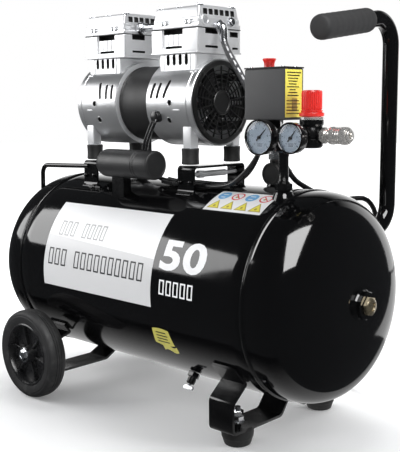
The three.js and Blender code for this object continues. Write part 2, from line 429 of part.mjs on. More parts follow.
// ---- outlet group -------------------------------------------------------------------------------
part('outlet_pillar', cut(join(
  hex('z', 22, TANK_R + 1 + GAP, TANK_R + 13, [PILLAR_X, OUT_Y, 0]), rod('z', 7, TANK_R + 12, OUT_Z - 8, [PILLAR_X, OUT_Y, 0], 18),
  hex('z', 20, OUT_Z - 22, OUT_Z - 10, [PILLAR_X, OUT_Y, 0]),
  rod('x', 11, PILLAR_X - 34, REG_X - REG_R - GAP, [0, OUT_Y, OUT_Z], 18),
  rod('z', 11, OUT_Z, OUT_Z + 26 - GAP, [PILLAR_X - 19, OUT_Y, 0], 18)),
  rod('z', 4.5, TANK_R - 6, OUT_Z, [PILLAR_X, OUT_Y, 0], 16)), 'black_steel');
const switchFoot = OUT_Z + 26, switchTop = OUT_Z + 97, GLAND_X = SWITCH_X0 + 12, LEAD_X = SWITCH_X0 + 22;
part('pressure_switch_body', cut(join(
  box(SWITCH_X0, SWITCH_X1, -64, -21, switchFoot, switchFoot + 6), box(SWITCH_X0 + 1, SWITCH_X1 - 1, -63, -22, switchFoot + 5, switchTop),
  rod('z', 7, switchFoot - 10, switchFoot + 2, [GLAND_X, -32, 0], 16), rod('z', 7, switchFoot - 10, switchFoot + 2, [LEAD_X, -13.6, 0], 16),
  box(LEAD_X - 7, LEAD_X + 7, -23, -13, switchFoot, switchFoot + 15)),
  rod('z', 4.3, switchTop - 30, switchTop + 1, [SWITCH_X0 + 29, OUT_Y, 0], 16), rod('z', 4, switchFoot - 15, switchFoot - 2, [GLAND_X, -32, 0], 16),
  rod('z', 4.9, switchFoot - 15, switchFoot + 8, [LEAD_X, -13.6, 0], 16)), 'grey_plastic');
part('switch_knob', turned([[0, -13], [3.9, -13], [3.9, GAP], [6.5, GAP], [7.5, 5],
  [9.4, 12], [8.6, 14.5], [0, 14.5]], 'z', [SWITCH_X0 + 29, OUT_Y, switchTop], 16), 'red_plastic');
part('regulator_body', cut(join(
  turned([[0, -17], [9, -17], [REG_R - 2, -14], [REG_R, -10], [REG_R, 12], [REG_R - 1, 14], [REG_R + 0.5, 18],
    [REG_R + 0.5, 24.7], [0, 24.7]], 'z', [REG_X, OUT_Y, OUT_Z], 18),
  rod('x', 9, REG_X, REG_X + REG_R + 2, [0, OUT_Y, OUT_Z + 3], 16)),
  rod('z', 6.3, OUT_Z + 16, OUT_Z + 26, [REG_X, OUT_Y, 0], 16)), 'black_plastic');
part('regulator_knob', turned([[0, 18], [6, 18], [6, 25], [REG_R + 1, 25], [REG_R + 1, 29.5], [REG_R - 0.5, 30],
  [REG_R - 0.5, 36], [13, 37.5], [14.2, 39], [14.2, 61], [12.5, 64], [0, 64]], 'z', [REG_X, OUT_Y, OUT_Z], 18),
  'red_plastic');
const COUP_X = REG_X + REG_R + 2 + GAP;
const coupAt = [0, OUT_Y, OUT_Z + 3];
part('coupler_body', cut(join(hex('x', 19, COUP_X, COUP_X + 8, coupAt),
  rod('x', 8.5, COUP_X + 6, COUP_X + 45.7, coupAt, 28)), rod('x', 4.2, COUP_X + 2, COUP_X + 53.7, coupAt, 16)), 'chrome');
part('coupler_sleeve', turned([[8.9, 0], [11, 0], [12, 1.5], [12, 7], [11, 8.5], [11, 18], [12, 19.5], [12, 27],
  [11, 29], [8.9, 29], [8.9, 0]], 'x', [COUP_X + 13.7, OUT_Y, OUT_Z + 3], 18), 'chrome');

// pressure gauges: cup, stem and needle
function gauge(name, x, r, face, stemEnd, needle) {
  const at = [x, 0, OUT_Z];
  part(`gauge_${name}`, join(turned([[0, face + 5], [r - 2.2, face + 5], [r - 2.2, face], [r, face], [r, face + 14],
    [r - 4, face + 20], [0, face + 20]], 'y', at, 28), rod('y', 6.5, face + 18, stemEnd, at, 16),
    hex('y', 14, face + 20, face + 25, at)), 'dial');
  const hub = join(rod('y', 2.6, face + 1.4, face + 5 - GAP, at, 16),
    box(-4, r - 7, face + 2, face + 3.2, -0.9, 0.9).rotate([0, -needle, 0]).translate(at));
  part(`gauge_needle_${name}`, hub, 'black_plastic');
}
gauge('tank', PILLAR_X - 12, 25, -86, OUT_Y - 11 - GAP, 45);
gauge('outlet', REG_X - 4, 21.5, -88, -61, 50);

// ---- start capacitor and wiring -----------------------------------------------------------------
const CAP_Y = -76, CAP_Z = TANK_R + 31;
part('start_capacitor', cut(join(
  turned([[0, -61.5], [19, -61.5], [20.5, -59.5], [20.5, 14.5], [19.6, 15.5], [19.6, 18.5], [20.5, 19.5], [20.5, 61.5],
    [19, 63.5], [0, 63.5]], 'x', [PUMP_X, CAP_Y, CAP_Z], 22),
  box(PUMP_X - 48.5, PUMP_X + 46.5, CAP_Y - 9, CAP_Y + 9, TANK_R - 36, CAP_Z - 10)), CLEAR), 'grey_plastic');
part('capacitor_lead', join(tube([V(PUMP_X + 60.5, 1 - CASE_R, MOTOR_H - 22), V(PUMP_X + 60.5, -4.5 - CASE_R, MOTOR_H - 29),
  V(PUMP_X + 56.5, -9 - CASE_R, MOTOR_H - 43), V(PUMP_X + 49.5, -79, CAP_Z + 37), V(PUMP_X + 44.5, -79, CAP_Z + 21.2)],
3.4, 12, 8), turned([[0, -4 - CASE_R], [6, -4 - CASE_R], [6, -1 - CASE_R], [0, -1 - CASE_R]], 'y',
  [PUMP_X + 60.5, 0, MOTOR_H - 21], 16)), 'lead');
part('motor_lead', tube([V(GLAND_X, -32, OUT_Z + 23.7), V(GLAND_X, -32, OUT_Z + 4), V(GLAND_X - 8, -32.5, TANK_R + 58),
  V(GLAND_X - 28, -34, TANK_R + 28), V(GLAND_X - 54, -36, TANK_R + 8), V(GLAND_X - 84, -36, TANK_R + 1.6),
  V(60, -36, TANK_R + 1.4), V(6, -36, TANK_R + 1.6), V(-14, -36, TANK_R + 10), V(-24, -35, TANK_R + 36),
  V(-26, -34, MOTOR_H - Math.sqrt(STATOR_R * STATOR_R - 34 * 34) - 2.753)],
3.4, 26, 8), 'lead');

// ---- mains lead: from its gland, over the tank and down to a coil on the floor behind --------------
const floorZ = -AXIS_H + CORD_R + 0.2;
const LX = SHELL_HALF, LY = TANK_R;
const lead = new THREE.CatmullRomCurve3([V(LEAD_X, -13.6, OUT_Z + 33), V(LEAD_X, -13.6, OUT_Z + 8), V(LEAD_X, -11, LY + 62),
  V(LX - 49, 3, LY + 34), V(LX - 47, 24, LY + 11), V(LX - 44, 50, LY - 3), V(LX - 39, 80, LY - 16.5), V(LX - 31, 108, LY - 28),
  V(LX - 20, 136, LY - 25), V(LX - 9, LY + 4, LY - 27), V(LX - 4, LY + 22, LY - 46), V(LX - 8, LY + 34, LY - 78),
  V(LX - 16, LY + 41, LY - 136), V(LX - 24, LY + 42, LY - 216), V(LX - 36, LY + 44, floorZ + 68), V(LX - 50, LY + 50, floorZ + 23),
  V(LX - 72, LY + 60, floorZ + 4), V(LX - 96, LY + 65, floorZ + 0.4), V(COIL_X + 70, COIL_Y - 52.4, floorZ),
  V(COIL_X + 40, COIL_Y - 52.4, floorZ), V(COIL_X, COIL_Y - 52.4, floorZ)],
false, 'centripetal');
const leadPoints = lead.getSpacedPoints(66);
part('mains_lead', tube(leadPoints, CORD_R, 58, 8), 'lead');
part('mains_lead_coil', turned([[COIL_R - COIL_T, -AXIS_H + 3], [COIL_R - 5, -AXIS_H], [COIL_R + 5, -AXIS_H],
  [COIL_R + COIL_T, -AXIS_H + 3], [COIL_R + COIL_T, -AXIS_H + 12], [COIL_R + 5, -AXIS_H + 15], [COIL_R - 5, -AXIS_H + 15],
  [COIL_R - COIL_T, -AXIS_H + 12], [COIL_R - COIL_T, -AXIS_H + 3]], 'z', [COIL_X, COIL_Y, 0], 28), 'lead');
const PLUG_END = COIL_X - COIL_R - COIL_T - 48;
part('mains_plug', join(box(PLUG_END - 34, PLUG_END, COIL_Y - 15, COIL_Y + 15, -AXIS_H, -AXIS_H + 26),
  rod('x', 2.4, PLUG_END - 53, PLUG_END - 33, [0, COIL_Y - 8, -AXIS_H + 13], 12),
  rod('x', 2.4, PLUG_END - 53, PLUG_END - 33, [0, COIL_Y + 8, -AXIS_H + 13], 12),
  rod('x', 6.5, PLUG_END - 2, PLUG_END + 22, [0, COIL_Y, -AXIS_H + 8], 12),
  rod('x', CORD_R, PLUG_END + 21, COIL_X - COIL_R - COIL_T - GAP, [0, COIL_Y, -AXIS_H + 8], 10)), 'lead');

export default root;
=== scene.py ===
# %% [markdown]
# # A two-head air compressor on a 50 litre tank
# The engineering model gives the frame: every node is already in its true place and size.
# This lesson dresses that frame. Each piece is made the way the real one is made: turned, pressed, bent,
# cast or moulded, with the edges, grain and wear that the process leaves.

# %% Load the frame
import math

import bmesh
import bpy
from mathutils import Matrix, Vector


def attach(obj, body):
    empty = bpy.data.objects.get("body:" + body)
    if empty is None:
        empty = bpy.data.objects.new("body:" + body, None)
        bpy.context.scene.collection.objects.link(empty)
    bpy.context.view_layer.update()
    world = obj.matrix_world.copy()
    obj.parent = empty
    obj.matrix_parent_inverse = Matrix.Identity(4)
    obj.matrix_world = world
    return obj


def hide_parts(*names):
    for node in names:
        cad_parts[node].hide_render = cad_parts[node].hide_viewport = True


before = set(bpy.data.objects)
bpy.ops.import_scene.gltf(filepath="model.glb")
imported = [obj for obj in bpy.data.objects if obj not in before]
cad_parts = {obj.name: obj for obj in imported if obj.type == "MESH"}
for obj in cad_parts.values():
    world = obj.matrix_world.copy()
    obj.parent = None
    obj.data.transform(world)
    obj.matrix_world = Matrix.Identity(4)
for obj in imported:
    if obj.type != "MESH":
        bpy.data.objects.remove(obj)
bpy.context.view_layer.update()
ORIGIN = (0, 0, 0)
SHIFT, AXIS = -9.1, 212.0          # middle and height of the tank's axis in the shared frame, millimetres
R, HALF, DOME, POWER = 156.0, 256.0, 91.5, 2.94    # tank radius, half of its barrel, depth and squareness of a dish
PUMP, MOTOR = -56.5, 283.0         # middle of the motor along the tank, and its height over the tank axis
AX = (0, 0, MOTOR)                 # a point on the motor's axis
FOOT_X, FOOT_Y = 203.5, 101.5      # the rubber feet
WHEEL_X, WHEEL_Y, WHEEL_Z = -192, 180, -137
LUG_Y, PORT_Z = -43, 234           # the outlet group stands in this plane, with its ports at this height
RISER, STEM = (240, LUG_Y, 0), (221, LUG_Y, 0)     # pillar from the tank, and stem under the switch
BUTTON, OUT = (213, LUG_Y, 0), (288, LUG_Y, 0)     # axes of the switch button and of the regulator
CHECK = (170, 24, 0)               # axis of the check valve


def put(node, values):
    """Sets several inputs of a shader node by name."""
    for name, value in values.items():
        node.inputs[name].default_value = value


def span(side, near, far):
    """Two distances from the middle as a low and a high value, on side -1 or 1."""
    return sorted((side * near, side * far))


# %% [markdown]
# ## Camera and light
# A longish lens from the front right, a little above the pump, sees the label side and the outlet end.
# Big soft boxes do the work of a studio tent: a gloss black tank shows nothing but what it reflects.

# %% Camera
camera = bpy.data.objects.new("camera", bpy.data.cameras.new("camera"))
bpy.context.scene.collection.objects.link(camera)
camera.location = (0.97478, -0.98837, 0.48802)
camera.rotation_euler = [math.radians(a) for a in (81.7082, 0.3393, 43.1620)]
camera.data.lens, camera.data.sensor_width = 67.17, 36.0
camera.data.shift_x, camera.data.shift_y = -0.0223, 0.0090
bpy.context.scene.camera = camera
print("camera", camera.data.lens)

# %% Soft boxes, room and cards
def softbox(name, place, aim, size, power):
    """A rectangular light that stands in one place and points at another."""
    data = bpy.data.lights.new(name, "AREA")
    data.shape, data.size, data.size_y = "RECTANGLE", size[0], size[1]
    data.energy = power
    lamp = bpy.data.objects.new(name, data)
    lamp.location = place
    lamp.rotation_euler = (Vector(aim) - Vector(place)).to_track_quat("-Z", "Y").to_euler()
    bpy.context.scene.collection.objects.link(lamp)
    return lamp


world = bpy.data.worlds.new("studio")
bpy.context.scene.world = world
world.use_nodes = True
tree = world.node_tree
ray = tree.nodes.new("ShaderNodeLightPath")
room = {}
for word, tint, power in (("fill", (0.95, 0.97, 1.0, 1), 0.5), ("dark", (0.9, 0.95, 1.0, 1), 0.05),
                          ("seen", (1, 1, 1, 1), 1.0)):
    room[word] = tree.nodes.new("ShaderNodeBackground")
    put(room[word], {"Color": tint, "Strength": power})
last = room["fill"]
for word, kind in (("dark", "Is Glossy Ray"), ("seen", "Is Camera Ray")):
    mixed = tree.nodes.new("ShaderNodeMixShader")
    tree.links.new(ray.outputs[kind], mixed.inputs[0])
    tree.links.new(last.outputs[0], mixed.inputs[1])
    tree.links.new(room[word].outputs[0], mixed.inputs[2])
    last = mixed
tree.links.new(last.outputs[0], tree.nodes["World Output"].inputs[0])
softbox("key", (-1.22, -0.9, 0.88), (0, -0.12, 0.28), (1.02, 0.74), 12.5)
softbox("top", (-0.3, 0.5, 2.1), (0, 0, 0.3), (1.5, 0.8), 26).visible_glossy = False
softbox("back", (0.35, 1.7, 0.55), (0.3, 0, 0.25), (1.7, 0.9), 20).visible_glossy = False
softbox("side", (1.9, 0.5, 0.9), (0.3, 0, 0.3), (0.4, 1.2), 14).visible_glossy = False
softbox("window", (1.18, -0.72, 1.5), (0.95, -0.5, 0.3), (1.0, 1.5), 62).visible_diffuse = False


def card(name, corners, power, start, stop, axis):
    """A lit card that only mirrors see. Its light fades along one axis, from start (none) to stop (full)."""
    data = bpy.data.meshes.new(name)
    data.from_pydata(corners, [], [(0, 1, 2, 3)])
    sheet = bpy.data.objects.new(name, data)
    mat = bpy.data.materials.new(name + "_light")
    mat.use_nodes = True
    n, link = mat.node_tree.nodes, mat.node_tree.links.new
    where, split, fade = [n.new("ShaderNode" + kind) for kind in ("TexCoord", "SeparateXYZ", "MapRange")]
    put(fade, {"From Min": start, "From Max": stop, "To Min": 0.0, "To Max": power})
    fade.interpolation_type = "SMOOTHSTEP"
    link(where.outputs["Object"], split.inputs[0])
    link(split.outputs[axis], fade.inputs["Value"])
    link(fade.outputs[0], n["Principled BSDF"].inputs["Emission Strength"])
    put(n["Principled BSDF"], {"Base Color": (0, 0, 0, 1), "Emission Color": (1, 1, 1, 1),
                               "Specular IOR Level": 0.0})
    data.materials.append(mat)
    bpy.context.scene.collection.objects.link(sheet)
    sheet.visible_camera = sheet.visible_diffuse = sheet.visible_shadow = sheet.visible_transmission = False


def flat(x0, y0, x1, y1, z):
    """Corners of a level rectangle."""
    return [(x0, y0, z), (x1, y0, z), (x1, y1, z), (x0, y1, z)]


card("back_card", [(-3.6, 1.8, 0.02), (0.66, 1.8, 0.02), (0.66, 1.8, 2.2), (-3.6, 1.8, 2.2)], 1.5, 2.1, 0.7, "Z")
card("under_card", flat(-0.62, -0.25, 0.33, 0.45, 0.002), 0.62, -0.23, -0.04, "Y")
card("far_card", flat(-0.9, 0.45, 0.5, 1.79, 0.002), 1.3, 0.44, 0.45, "Y")
scene = bpy.context.scene
scene.view_settings.view_transform = "Standard"
scene.view_settings.look = "None"

# %% [markdown]
# ## Finishes
# Every surface is built from the same small recipe: a base colour that drifts a little, a roughness that
# varies with handling, and a fine relief at the scale of the process. Lengths are metres, so a scale of
# 900 is a grain of about a millimetre.

# %% The recipe for a finish
def finish(name, base, rough=(0.3, 0.4), metal=0.0, drift=0.06, grain=(900, 0.1, 0.0002), cloud=9,
           stretch=(1, 1, 1), specks=0.0, dust=0.0, soft=0.0):
    """Roughness runs between two values; grain is (scale, strength, depth); cloud is the scale of the drift."""
    mat = bpy.data.materials.new(name)
    mat.use_nodes = True
    n, link = mat.node_tree.nodes, mat.node_tree.links.new
    shader = n["Principled BSDF"]
    put(shader, {"Metallic": metal})
    if soft:
        put(shader, {"Subsurface Weight": soft, "Subsurface Radius": (0.004, 0.001, 0.0008)})
    where = n.new("ShaderNodeTexCoord")
    mapping = n.new("ShaderNodeMapping")
    put(mapping, {"Scale": stretch})
    link(where.outputs["Object"], mapping.inputs["Vector"])

    def noise(scale, detail=3.0, rough_=0.55):
        t = n.new("ShaderNodeTexNoise")
        put(t, {"Scale": scale, "Detail": detail, "Roughness": rough_})
        link(mapping.outputs[0], t.inputs["Vector"])
        return t.outputs["Fac"]

    def ramp(value, lo, hi, a=0.0, b=1.0):
        m = n.new("ShaderNodeMapRange")
        put(m, {"From Min": lo, "From Max": hi, "To Min": a, "To Max": b})
        link(value, m.inputs["Value"])
        return m.outputs[0]

    def mix(fac, a, b):
        m = n.new("ShaderNodeMix")
        m.data_type = "RGBA"
        link(fac, m.inputs[0])
        for socket, value in ((m.inputs[6], a), (m.inputs[7], b)):
            if isinstance(value, tuple):
                socket.default_value = (*value, 1)
            else:
                link(value, socket)
        return m.outputs[2]

    low, high = [tuple(max(0.0, min(1.0, c * k)) for c in base) for k in (1 - drift, 1 + drift)]
    colour = mix(ramp(noise(cloud), 0.3, 0.7), low, high)
    if specks:
        colour = mix(ramp(noise(2600, 1.0), 0.66, 0.72, 0.0, specks), colour, tuple(min(1, c + 0.25) for c in base))
    wear = ramp(noise(cloud * 5, 5.0, 0.65), 0.3, 0.75, rough[0], rough[1])
    if dust:
        settled = ramp(noise(46, 6.0, 0.7), 0.52, 0.8, 0.0, dust)
        colour = mix(settled, colour, (0.42, 0.41, 0.39))
    link(colour, shader.inputs["Base Color"])
    link(wear, shader.inputs["Roughness"])
    bump = n.new("ShaderNodeBump")
    put(bump, {"Strength": grain[1], "Distance": grain[2]})
    link(noise(grain[0], 2.0), bump.inputs["Height"])
    link(bump.outputs[0], shader.inputs["Normal"])
    return mat


MAT = {
    "enamel": finish("gloss_black_enamel", (0.003, 0.003, 0.0033), (0.06, 0.12), grain=(420, 0.05, 0.0001)),
    "weld": finish("painted_weld", (0.004, 0.004, 0.0044), (0.12, 0.22), grain=(320, 0.5, 0.0006)),
    "black_steel": finish("black_painted_steel", (0.004, 0.004, 0.0044), (0.12, 0.24), grain=(600, 0.12, 0.0002),
                          dust=0.02),
    "cast": finish("blasted_cast_alloy", (0.70, 0.705, 0.715), (0.30, 0.42), 0.5, 0.05, (1500, 0.22, 0.0002),
                   specks=0.12),
    "drum": finish("blasted_drum_alloy", (0.56, 0.565, 0.575), (0.28, 0.38), 0.82, 0.05, (1700, 0.3, 0.0002),
                   specks=0.16),
    "hose": finish("braided_hose", (0.17, 0.17, 0.175), (0.26, 0.38), 0.6, 0.2, (1400, 0.5, 0.0003)),
    "machined": finish("machined_alloy", (0.86, 0.87, 0.88), (0.16, 0.26), 1.0, 0.04, (260, 0.08, 0.0001),
                       stretch=(1, 1, 14)),
    "band": finish("satin_black_band", (0.010, 0.010, 0.0105), (0.46, 0.56), 0.0, 0.1, (1400, 0.1, 0.0001)),
    "grille": finish("moulded_black_plastic", (0.005, 0.005, 0.0052), (0.36, 0.48), 0, 0.1, (1300, 0.15, 0.0002),
                     dust=0.015),
    "switch": finish("grey_switch_cover", (0.050, 0.050, 0.052), (0.42, 0.52), 0, 0.05, (1800, 0.25, 0.0002),
                     dust=0.02),
    "cap": finish("dark_capacitor_case", (0.020, 0.020, 0.021), (0.42, 0.52), 0, 0.06, (1600, 0.12, 0.0001),
                  dust=0.04),
    "red": finish("red_plastic", (0.78, 0.025, 0.018), (0.26, 0.36), 0, 0.05, (700, 0.06, 0.0001), soft=0.08),
    "rubber": finish("black_rubber", (0.009, 0.009, 0.0093), (0.5, 0.66), 0, 0.14, (900, 0.3, 0.0003), specks=0.04,
                     dust=0.05),
    "foam": finish("foam_grip", (0.020, 0.020, 0.021), (0.7, 0.85), 0, 0.1, (1500, 0.6, 0.0004), specks=0.1),
    "tyre": finish("tyre_rubber", (0.016, 0.016, 0.017), (0.55, 0.75), 0, 0.15, (700, 0.25, 0.0003), dust=0.12),
    "rim": finish("black_wheel_plastic", (0.014, 0.014, 0.015), (0.22, 0.34), 0, 0.1, (900, 0.1, 0.0002),
                  dust=0.05),
    "zinc": finish("bright_zinc_plate", (0.74, 0.75, 0.77), (0.16, 0.3), 1.0, 0.07, (700, 0.12, 0.0001)),
    "tube": finish("drawn_steel_tube", (0.55, 0.56, 0.58), (0.2, 0.32), 1.0, 0.08, (500, 0.2, 0.0002)),
    "chrome": finish("nickel_plate", (0.76, 0.74, 0.71), (0.2, 0.25), 0.74, 0.02, (300, 0.01, 0.00005)),
    "brass": finish("aged_brass", (0.34, 0.29, 0.20), (0.22, 0.36), 0.9, 0.1, (800, 0.1, 0.0001)),
    "dial": finish("dial_enamel", (0.50, 0.60, 0.72), (0.3, 0.36), 0, 0.03, (600, 0.02, 0.0001)),
    "ink": finish("black_ink", (0.012, 0.012, 0.014), (0.4, 0.5), 0, 0.1),
    "lead": finish("cable_sheath", (0.010, 0.010, 0.011), (0.22, 0.36), 0, 0.12, (900, 0.12, 0.0002)),
    "white": finish("white_label_film", (0.86, 0.86, 0.865), (0.34, 0.35), 0, 0.006, (500, 0.02, 0.0001)),
    "silver": finish("grey_label_film", (0.62, 0.62, 0.625), (0.34, 0.35), 0, 0.006, (500, 0.02, 0.0001)),
    "yellow": finish("yellow_label_film", (0.82, 0.74, 0.10), (0.3, 0.36), 0, 0.03, (500, 0.02, 0.0001)),
    "olive": finish("olive_label_film", (0.50, 0.46, 0.10), (0.3, 0.36), 0, 0.03, (500, 0.02, 0.0001)),
    "pale": finish("pale_grey_ink", (0.34, 0.34, 0.345), (0.3, 0.36), 0, 0.01, (500, 0.02, 0.0001)),
    "blue": finish("blue_label_ink", (0.14, 0.40, 0.70), (0.3, 0.36), 0, 0.04),
    "signal": finish("red_label_ink", (0.70, 0.05, 0.05), (0.3, 0.36), 0, 0.04),
    "ochre": finish("ochre_label_ink", (0.42, 0.33, 0.06), (0.3, 0.36), 0, 0.04),
    # This black serves the real gasket and also the painted shade inside the pockets, slots and neck of the
    # castings.
    "gasket": finish("fibre_gasket_and_hollow_shade", (0.012, 0.012, 0.012), (0.7, 0.8), 0, 0.1, (1200, 0.3, 0.0002)),
}
floor_mat = finish("pale_floor", (0.90, 0.90, 0.90), (0.5, 0.6), 0, 0.004, (40, 0.01, 0.0001), cloud=1.5)
glass = bpy.data.materials.new("clear_lens")
glass.use_nodes = True
pane = glass.node_tree.nodes["Principled BSDF"]
put(pane, {"Transmission Weight": 1.0, "IOR": 1.45})
mist = glass.node_tree.nodes.new("ShaderNodeTexNoise")
put(mist, {"Scale": 300})
smear = glass.node_tree.nodes.new("ShaderNodeMapRange")
put(smear, {"To Min": 0.01, "To Max": 0.05})
glass.node_tree.links.new(mist.outputs[0], smear.inputs[0])
glass.node_tree.links.new(smear.outputs[0], pane.inputs["Roughness"])
MAT["glass"] = glass
print("finishes", len(MAT))

# %% The floor
# The floor fades to pure white with distance. The gloss paint mirrors the lit cards above instead of the floor.
n, link = floor_mat.node_tree.nodes, floor_mat.node_tree.links.new
away = n.new("ShaderNodeVectorMath")
away.operation = "LENGTH"
fade = n.new("ShaderNodeMapRange")
put(fade, {"From Min": 0.45, "From Max": 1.5, "To Min": 0.12, "To Max": 1.0})
link(next(t for t in n if t.type == "TEX_COORD").outputs["Object"], away.inputs[0])
link(away.outputs["Value"], fade.inputs["Value"])
link(fade.outputs[0], n["Principled BSDF"].inputs["Emission Strength"])
put(n["Principled BSDF"], {"Emission Color": (1, 1, 1, 1), "Specular IOR Level": 0.1})
x0, x1, y0, y1, far = -0.55, 0.75, -0.2, 1.1, 9
for name, quads in (("floor_near", [(x0, y0, x1, y1)]),
                    ("floor_far", [(-far, -far, far, y0), (-far, y1, far, far), (-far, y0, x0, y1),
                                   (x1, y0, far, y1)])):
    data = bpy.data.meshes.new(name)
    data.from_pydata([corner for quad in quads for corner in flat(*quad, 0)], [],
                     [tuple(range(4 * i, 4 * i + 4)) for i in range(len(quads))])
    sheet = bpy.data.objects.new(name, data)
    data.materials.append(floor_mat)
    scene.collection.objects.link(sheet)
    sheet.visible_glossy = False

# %% [markdown]
# ## A small workshop
# One class holds the tools: turning on a lathe, milling a block, drawing a tube along a route, pressing an
# outline, and cutting one solid with another. Sizes are given in millimetres from the tank's axis.

# %% The tools
class Piece:
    """Gathers shapes, then becomes one named object that rides on a body."""

    def __init__(self):
        self.bm = bmesh.new()

    def add(self, other, mat=0, turn=None):
        """Takes in a loose shape and gives it one of the piece's finishes."""
        if turn is not None:
            bmesh.ops.transform(other, matrix=turn, verts=other.verts)
        for face in other.faces:
            face.material_index = mat
        bmesh.ops.recalc_face_normals(other, faces=other.faces)
        mesh = bpy.data.meshes.new("scratch")
        other.to_mesh(mesh)
        other.free()
        self.bm.from_mesh(mesh)
        bpy.data.meshes.remove(mesh)
        return self

    def join(self, other):
        """Takes in another piece, which keeps the finishes it has."""
        mesh = bpy.data.meshes.new("scratch")
        other.bm.to_mesh(mesh)
        other.bm.free()
        self.bm.from_mesh(mesh)
        bpy.data.meshes.remove(mesh)
        return self

    def paint(self, rule):
        """Gives each face the finish that rule names for the face's middle."""
        for face in self.bm.faces:
            face.material_index = rule(face.calc_center_median())
        return self

    def turn(self, profile, axis="z", at=ORIGIN, seg=72, mat=0, move=None, phase=0.0, loop=False):
        """A profile of (radius, place along the axis) turned round it."""
        b = bmesh.new()
        rings = []
        for r, t in profile:
            if r < 1e-6:
                rings.append([b.verts.new((0, 0, t))] * seg)
            else:
                rings.append([b.verts.new((r * math.cos(phase + 2 * math.pi * i / seg),
                                           r * math.sin(phase + 2 * math.pi * i / seg), t)) for i in range(seg)])
        pairs = list(zip(rings, rings[1:])) + ([(rings[-1], rings[0])] if loop else [])
        for a, c in pairs:
            for i in range(seg):
                j = (i + 1) % seg
                corners = []
                for v in (a[i], a[j], c[j], c[i]):
                    if v not in corners:
                        corners.append(v)
                if len(corners) > 2:
                    b.faces.new(corners)
        m = {"z": Matrix.Identity(4), "x": Matrix.Rotation(math.pi / 2, 4, "Y"),
             "y": Matrix.Rotation(-math.pi / 2, 4, "X")}[axis]
        m = Matrix.Translation(at) @ m
        return self.add(b, mat, (move @ m) if move is not None else m)

    def side_box(self, side, lo, hi, edge=0.8, mat=0):
        """A box on the front (-1) or the rear (1). Its y runs outward from the middle."""
        y0, y1 = span(side, lo[1], hi[1])
        return self.box((lo[0], y0, lo[2]), (hi[0], y1, hi[2]), edge, mat)

    def rod(self, r, t0, t1, axis="z", at=ORIGIN, edge=0.6, seg=48, mat=0, move=None, phase=0.0):
        e = min(edge, r * 0.4, abs(t1 - t0) * 0.4)
        s = 1 if t1 > t0 else -1
        rim = [(r - e, t0), (r - e * 0.3, t0 + s * e * 0.3), (r, t0 + s * e)]
        rim2 = [(r, t1 - s * e), (r - e * 0.3, t1 - s * e * 0.3), (r - e, t1)]
        return self.turn([(0, t0)] + rim + rim2 + [(0, t1)], axis, at, seg, mat, move, phase)

    def ring(self, r0, r1, t0, t1, axis="z", at=ORIGIN, edge=0.5, seg=72, mat=0, move=None):
        e = min(edge, (r1 - r0) * 0.4, (t1 - t0) * 0.4)
        return self.turn([(r0 + e, t0), (r1 - e, t0), (r1, t0 + e), (r1, t1 - e), (r1 - e, t1), (r0 + e, t1),
                          (r0, t1 - e), (r0, t0 + e)], axis, at, seg, mat, move, loop=True)

    def nut(self, flats, t0, t1, axis="z", at=ORIGIN, mat=0, move=None, phase=0.0):
        r = flats / math.sqrt(3)
        e = min(1.0, (t1 - t0) * 0.25)
        return self.turn([(0, t0), (r * 0.9, t0), (r, t0 + e), (r, t1 - e), (r * 0.9, t1), (0, t1)], axis, at, 6,
                         mat, move, phase)

    def box(self, lo, hi, edge=0.8, mat=0, move=None, steps=3):
        b = bmesh.new()
        bmesh.ops.create_cube(b, size=1)
        size = [hi[i] - lo[i] for i in range(3)]
        bmesh.ops.scale(b, vec=size, verts=b.verts)
        bmesh.ops.translate(b, vec=[(hi[i] + lo[i]) / 2 for i in range(3)], verts=b.verts)
        if edge:
            bmesh.ops.bevel(b, geom=b.edges[:], offset=min(edge, min(size) * 0.45), segments=steps, profile=0.6,
                            affect="EDGES")
        return self.add(b, mat, move)

    def slab(self, outline, lo, hi, axis="x", edge=0.6, mat=0, move=None, steps=2):
        """A closed outline pushed along an axis, its rims broken."""
        b = bmesh.new()
        n = len(outline)
        low = [b.verts.new((p[0], p[1], lo)) for p in outline]
        top = [b.verts.new((p[0], p[1], hi)) for p in outline]
        ends = [b.faces.new(low[::-1]), b.faces.new(top)]
        for i in range(n):
            b.faces.new((low[i], low[(i + 1) % n], top[(i + 1) % n], top[i]))
        if edge:
            rims = list({e for f in ends for e in f.edges})
            bmesh.ops.bevel(b, geom=rims, offset=edge, segments=steps, profile=0.6, affect="EDGES")
        m = {"z": Matrix.Identity(4),
             "x": Matrix(((0, 0, 1, 0), (1, 0, 0, 0), (0, 1, 0, 0), (0, 0, 0, 1))),
             "y": Matrix(((1, 0, 0, 0), (0, 0, 1, 0), (0, 1, 0, 0), (0, 0, 0, 1)))}[axis]
        return self.add(b, mat, (move @ m) if move is not None else m)

    def draw(self, route, r, seg=20, mat=0, wave=None):
        """A tube drawn along a route of points."""
        b = bmesh.new()
        pts = [Vector(p) for p in route]
        side = None
        rings = []
        for i, p in enumerate(pts):
            along = (pts[min(i + 1, len(pts) - 1)] - pts[max(i - 1, 0)]).normalized()
            if side is None:
                side = along.orthogonal().normalized()
            side = (side - along * side.dot(along)).normalized()
            other = along.cross(side)
            rr = r if wave is None else r * wave(i / (len(pts) - 1))
            rings.append([b.verts.new(p + rr * (math.cos(2 * math.pi * k / seg) * side
                                                + math.sin(2 * math.pi * k / seg) * other)) for k in range(seg)])
        for a, c in zip(rings, rings[1:]):
            for k in range(seg):
                b.faces.new((a[k], a[(k + 1) % seg], c[(k + 1) % seg], c[k]))
        b.faces.new(rings[0][::-1])
        b.faces.new(rings[-1])
        return self.add(b, mat)

